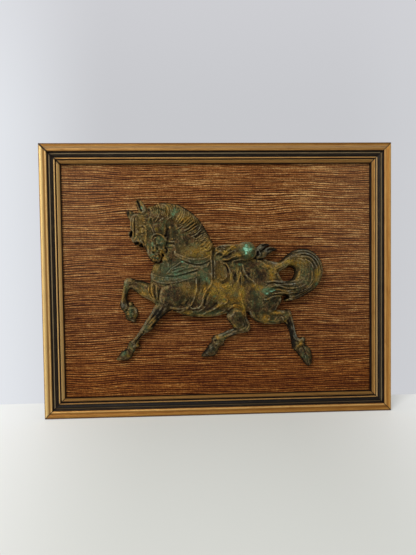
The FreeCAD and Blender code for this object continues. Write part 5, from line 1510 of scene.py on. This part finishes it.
def board_paint():
    p = Paint("hardboard")
    fibre = p.noise(p.place(), 1.6, 4, 0.7)
    base = p.mix(p.ramp(fibre, 0.3, 0.7), (104, 74, 48), (136, 100, 68))
    return p.finish(base, 0.8, p.bump(fibre, 0.15))


def rubber_paint():
    p = Paint("bumper_rubber")
    dust = p.noise(p.place(), 0.9, 4, 0.6)
    base = p.mix(p.ramp(dust, 0.4, 0.75), (38, 37, 36), (72, 70, 66))
    return p.finish(base, 0.75, p.bump(dust, 0.1))


def dress(material, *names):
    for name in names:
        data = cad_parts[name].data
        data.materials.clear()
        data.materials.append(material)


GLUED = 16.0                # the paper is glued down this far in from the frame's edge
PAPER = 0.3                 # its thickness


def paper_depth(x, z):
    """How far the paper sinks within its glued rim: a sag, two runs of creases, and dimples."""
    edge = np.minimum(FRAME_WIDTH / 2 - GLUED - np.abs(x),
                      np.minimum(z - GLUED, FRAME_HEIGHT - GLUED - z))
    slack = np.clip(edge / 26, 0, 1) ** 1.5
    swell = value_noise(x / 62 + 20, z / 48 + 20, 61) - 0.5
    crease = 0.5 - np.abs(value_noise((x + z) / 26 + 40, (x - z) / 70 + 40, 62) - 0.5)
    fold = 0.5 - np.abs(value_noise((x - z) / 34 + 40, (x + z) / 90 + 40, 63) - 0.5)
    dimple = value_noise(x / 11 + 50, z / 9 + 50, 64) - 0.5
    depth = slack * (2.2 * swell - 1.6 + 1.1 * np.clip(crease * 2 - 0.72, 0, 1)
                     + 0.9 * np.clip(fold * 2 - 0.76, 0, 1) + 0.4 * dimple)
    return np.minimum(depth, 0.0)


def paper_cover(material):
    """The paper glued over the back: tight at its edges, a little slack and creased within."""
    low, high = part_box("dust_cover")
    columns, rows = 210, 162
    x, z = np.meshgrid(np.linspace(low.x, high.x, columns) / MM,
                       np.linspace(low.z, high.z, rows) / MM)
    outer = high.y / MM + paper_depth(x, z)
    points = np.concatenate([np.stack([x, y, z], -1).reshape(-1, 3)
                             for y in (outer, outer - PAPER)]) * MM
    index, quads = quad_grid(rows, columns)
    rim = np.concatenate([index[0, :], index[1:, -1], index[-1, -2::-1], index[-2:0:-1, 0]])
    after = np.roll(rim, -1)
    sides = np.stack([rim, after, after + index.size, rim + index.size], -1)
    faces = np.concatenate([quads[:, ::-1], quads + index.size, sides])
    return mesh_object("backing_paper", points.tolist(), faces.tolist(), material)


# Stage, lights and camera

WALL = 48.0                 # the backdrop stands this far behind the cloth's front
STAGE = 3.0                 # the floor's half width and the backdrop's height, in metres


def seen(p):
    """1 where a surface is shown, straight or in a reflection; 0 where it only lights others."""
    path = p.node("ShaderNodeLightPath")
    return p.math("MAXIMUM", path.outputs["Is Camera Ray"], path.outputs["Is Glossy Ray"])


def add_glow(p, share, under, tone):
    """Show an even glow of a tone by a share, and the shader under it for the rest."""
    glow, pick = p.node("ShaderNodeEmission"), p.node("ShaderNodeMixShader")
    p.put(glow.inputs["Color"], tone)
    for socket, value in zip(pick.inputs, (share, under.outputs[0], glow.outputs[0])):
        p.put(socket, value)
    p.put(p.tree.nodes["Material Output"].inputs["Surface"], pick.outputs[0])


def floor_paint():
    p = Paint("floor_paint")
    x, _, _ = p.axes(p.place())
    far = p.ramp(p.math("ABSOLUTE", x), 60, 330)
    p.finish(p.mix(far, (222, 223, 217), (255, 255, 253)), 0.55)
    add_glow(p, p.times(seen(p), 0.4), p.shader, p.mix(far, (206, 207, 201), (255, 255, 252)))
    return p.material


def backdrop_paint():
    p = Paint("backdrop_paint")
    x, _, z = p.axes(p.place())
    far = p.math("MAXIMUM", p.ramp(x, -120, -300), p.times(p.ramp(x, 150, 280), 0.18))
    shade = p.mix(far, (199, 200, 204), (229, 232, 237))
    shade = p.mix(p.ramp(z, 330, 560, 0.0, 0.5), shade, (213, 213, 218))
    face = p.node("ShaderNodeNewGeometry")
    front = p.times(seen(p), p.flip(face.outputs["Backfacing"]))
    add_glow(p, front, p.node("ShaderNodeBsdfTransparent"), shade)
    return p.material


def build_stage():
    floor = mesh_object("floor", [(-STAGE, -STAGE, 0), (STAGE, -STAGE, 0), (STAGE, STAGE, 0),
                                  (-STAGE, STAGE, 0)], [(0, 1, 2, 3)], floor_paint())
    y = WALL * MM
    wall = mesh_object("backdrop", [(-STAGE, y, 0), (STAGE, y, 0), (STAGE, y, STAGE),
                                    (-STAGE, y, STAGE)], [(0, 1, 2, 3)], backdrop_paint())


def build_camera():
    data = bpy.data.cameras.new("camera")
    data.sensor_width = 36.0
    data.lens = 27.05
    data.clip_start = 0.01
    camera = bpy.data.objects.new("camera", data)
    camera.location = (-0.030213, -0.48388, 0.173293)
    camera.rotation_euler = [math.radians(a) for a in (88.233, 0.754, -2.161)]
    bpy.context.collection.objects.link(camera)
    bpy.context.scene.camera = camera


def add_lamp(name, place, target, size, power):
    data = bpy.data.lights.new(name, "AREA")
    data.shape = "RECTANGLE"
    data.size, data.size_y = size
    data.energy = power
    lamp = bpy.data.objects.new(name, data)
    lamp.location = place
    toward = Vector([b - a for a, b in zip(place, target)])
    lamp.rotation_euler = toward.to_track_quat("-Z", "Y").to_euler()
    bpy.context.collection.objects.link(lamp)


def build_lights():
    world = bpy.data.worlds.new("studio")
    bpy.context.scene.world = world
    world.use_nodes = True
    background = world.node_tree.nodes["Background"]
    background.inputs["Color"].default_value = colour((226, 229, 233))
    background.inputs["Strength"].default_value = 0.42
    add_lamp("key", (-0.55, -0.95, 1.0), (0, 0, 0.17), (0.4, 0.4), 15)
    add_lamp("window", (-1.5, -0.4, 0.3), (0, 0, 0.16), (0.4, 0.9), 7)
    add_lamp("fill", (0.9, -1.2, 0.5), (0, 0, 0.15), (1.2, 1.0), 3)


build_camera()
build_stage()
build_lights()

dress(moulding_paint(), "frame_top_rail", "frame_bottom_rail", "frame_left_stile",
      "frame_right_stile")
dress(board_paint(), "backing_board")
dress(steel_paint("plated_steel", (176, 176, 170)), "left_strap_hanger", "right_strap_hanger",
      "left_d_ring", "right_d_ring", "left_hanger_screws", "right_hanger_screws")
dress(steel_paint("steel", (150, 148, 144)), "corner_nails", "framers_points", "horse_screws",
      "horse_washers")
dress(rubber_paint(), "left_wall_bumper", "right_wall_bumper")

cloth = grasscloth(grasscloth_paint())
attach(cloth, "plaque")
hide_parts("grasscloth_facing")

paper = paper_cover(kraft_paint())
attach(paper, "plaque")
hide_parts("dust_cover")

horse = relief_mesh(build_forms(), patina_paint())
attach(horse, "plaque")
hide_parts("horse_casting")

scene = bpy.context.scene
scene.view_settings.view_transform = "Standard"
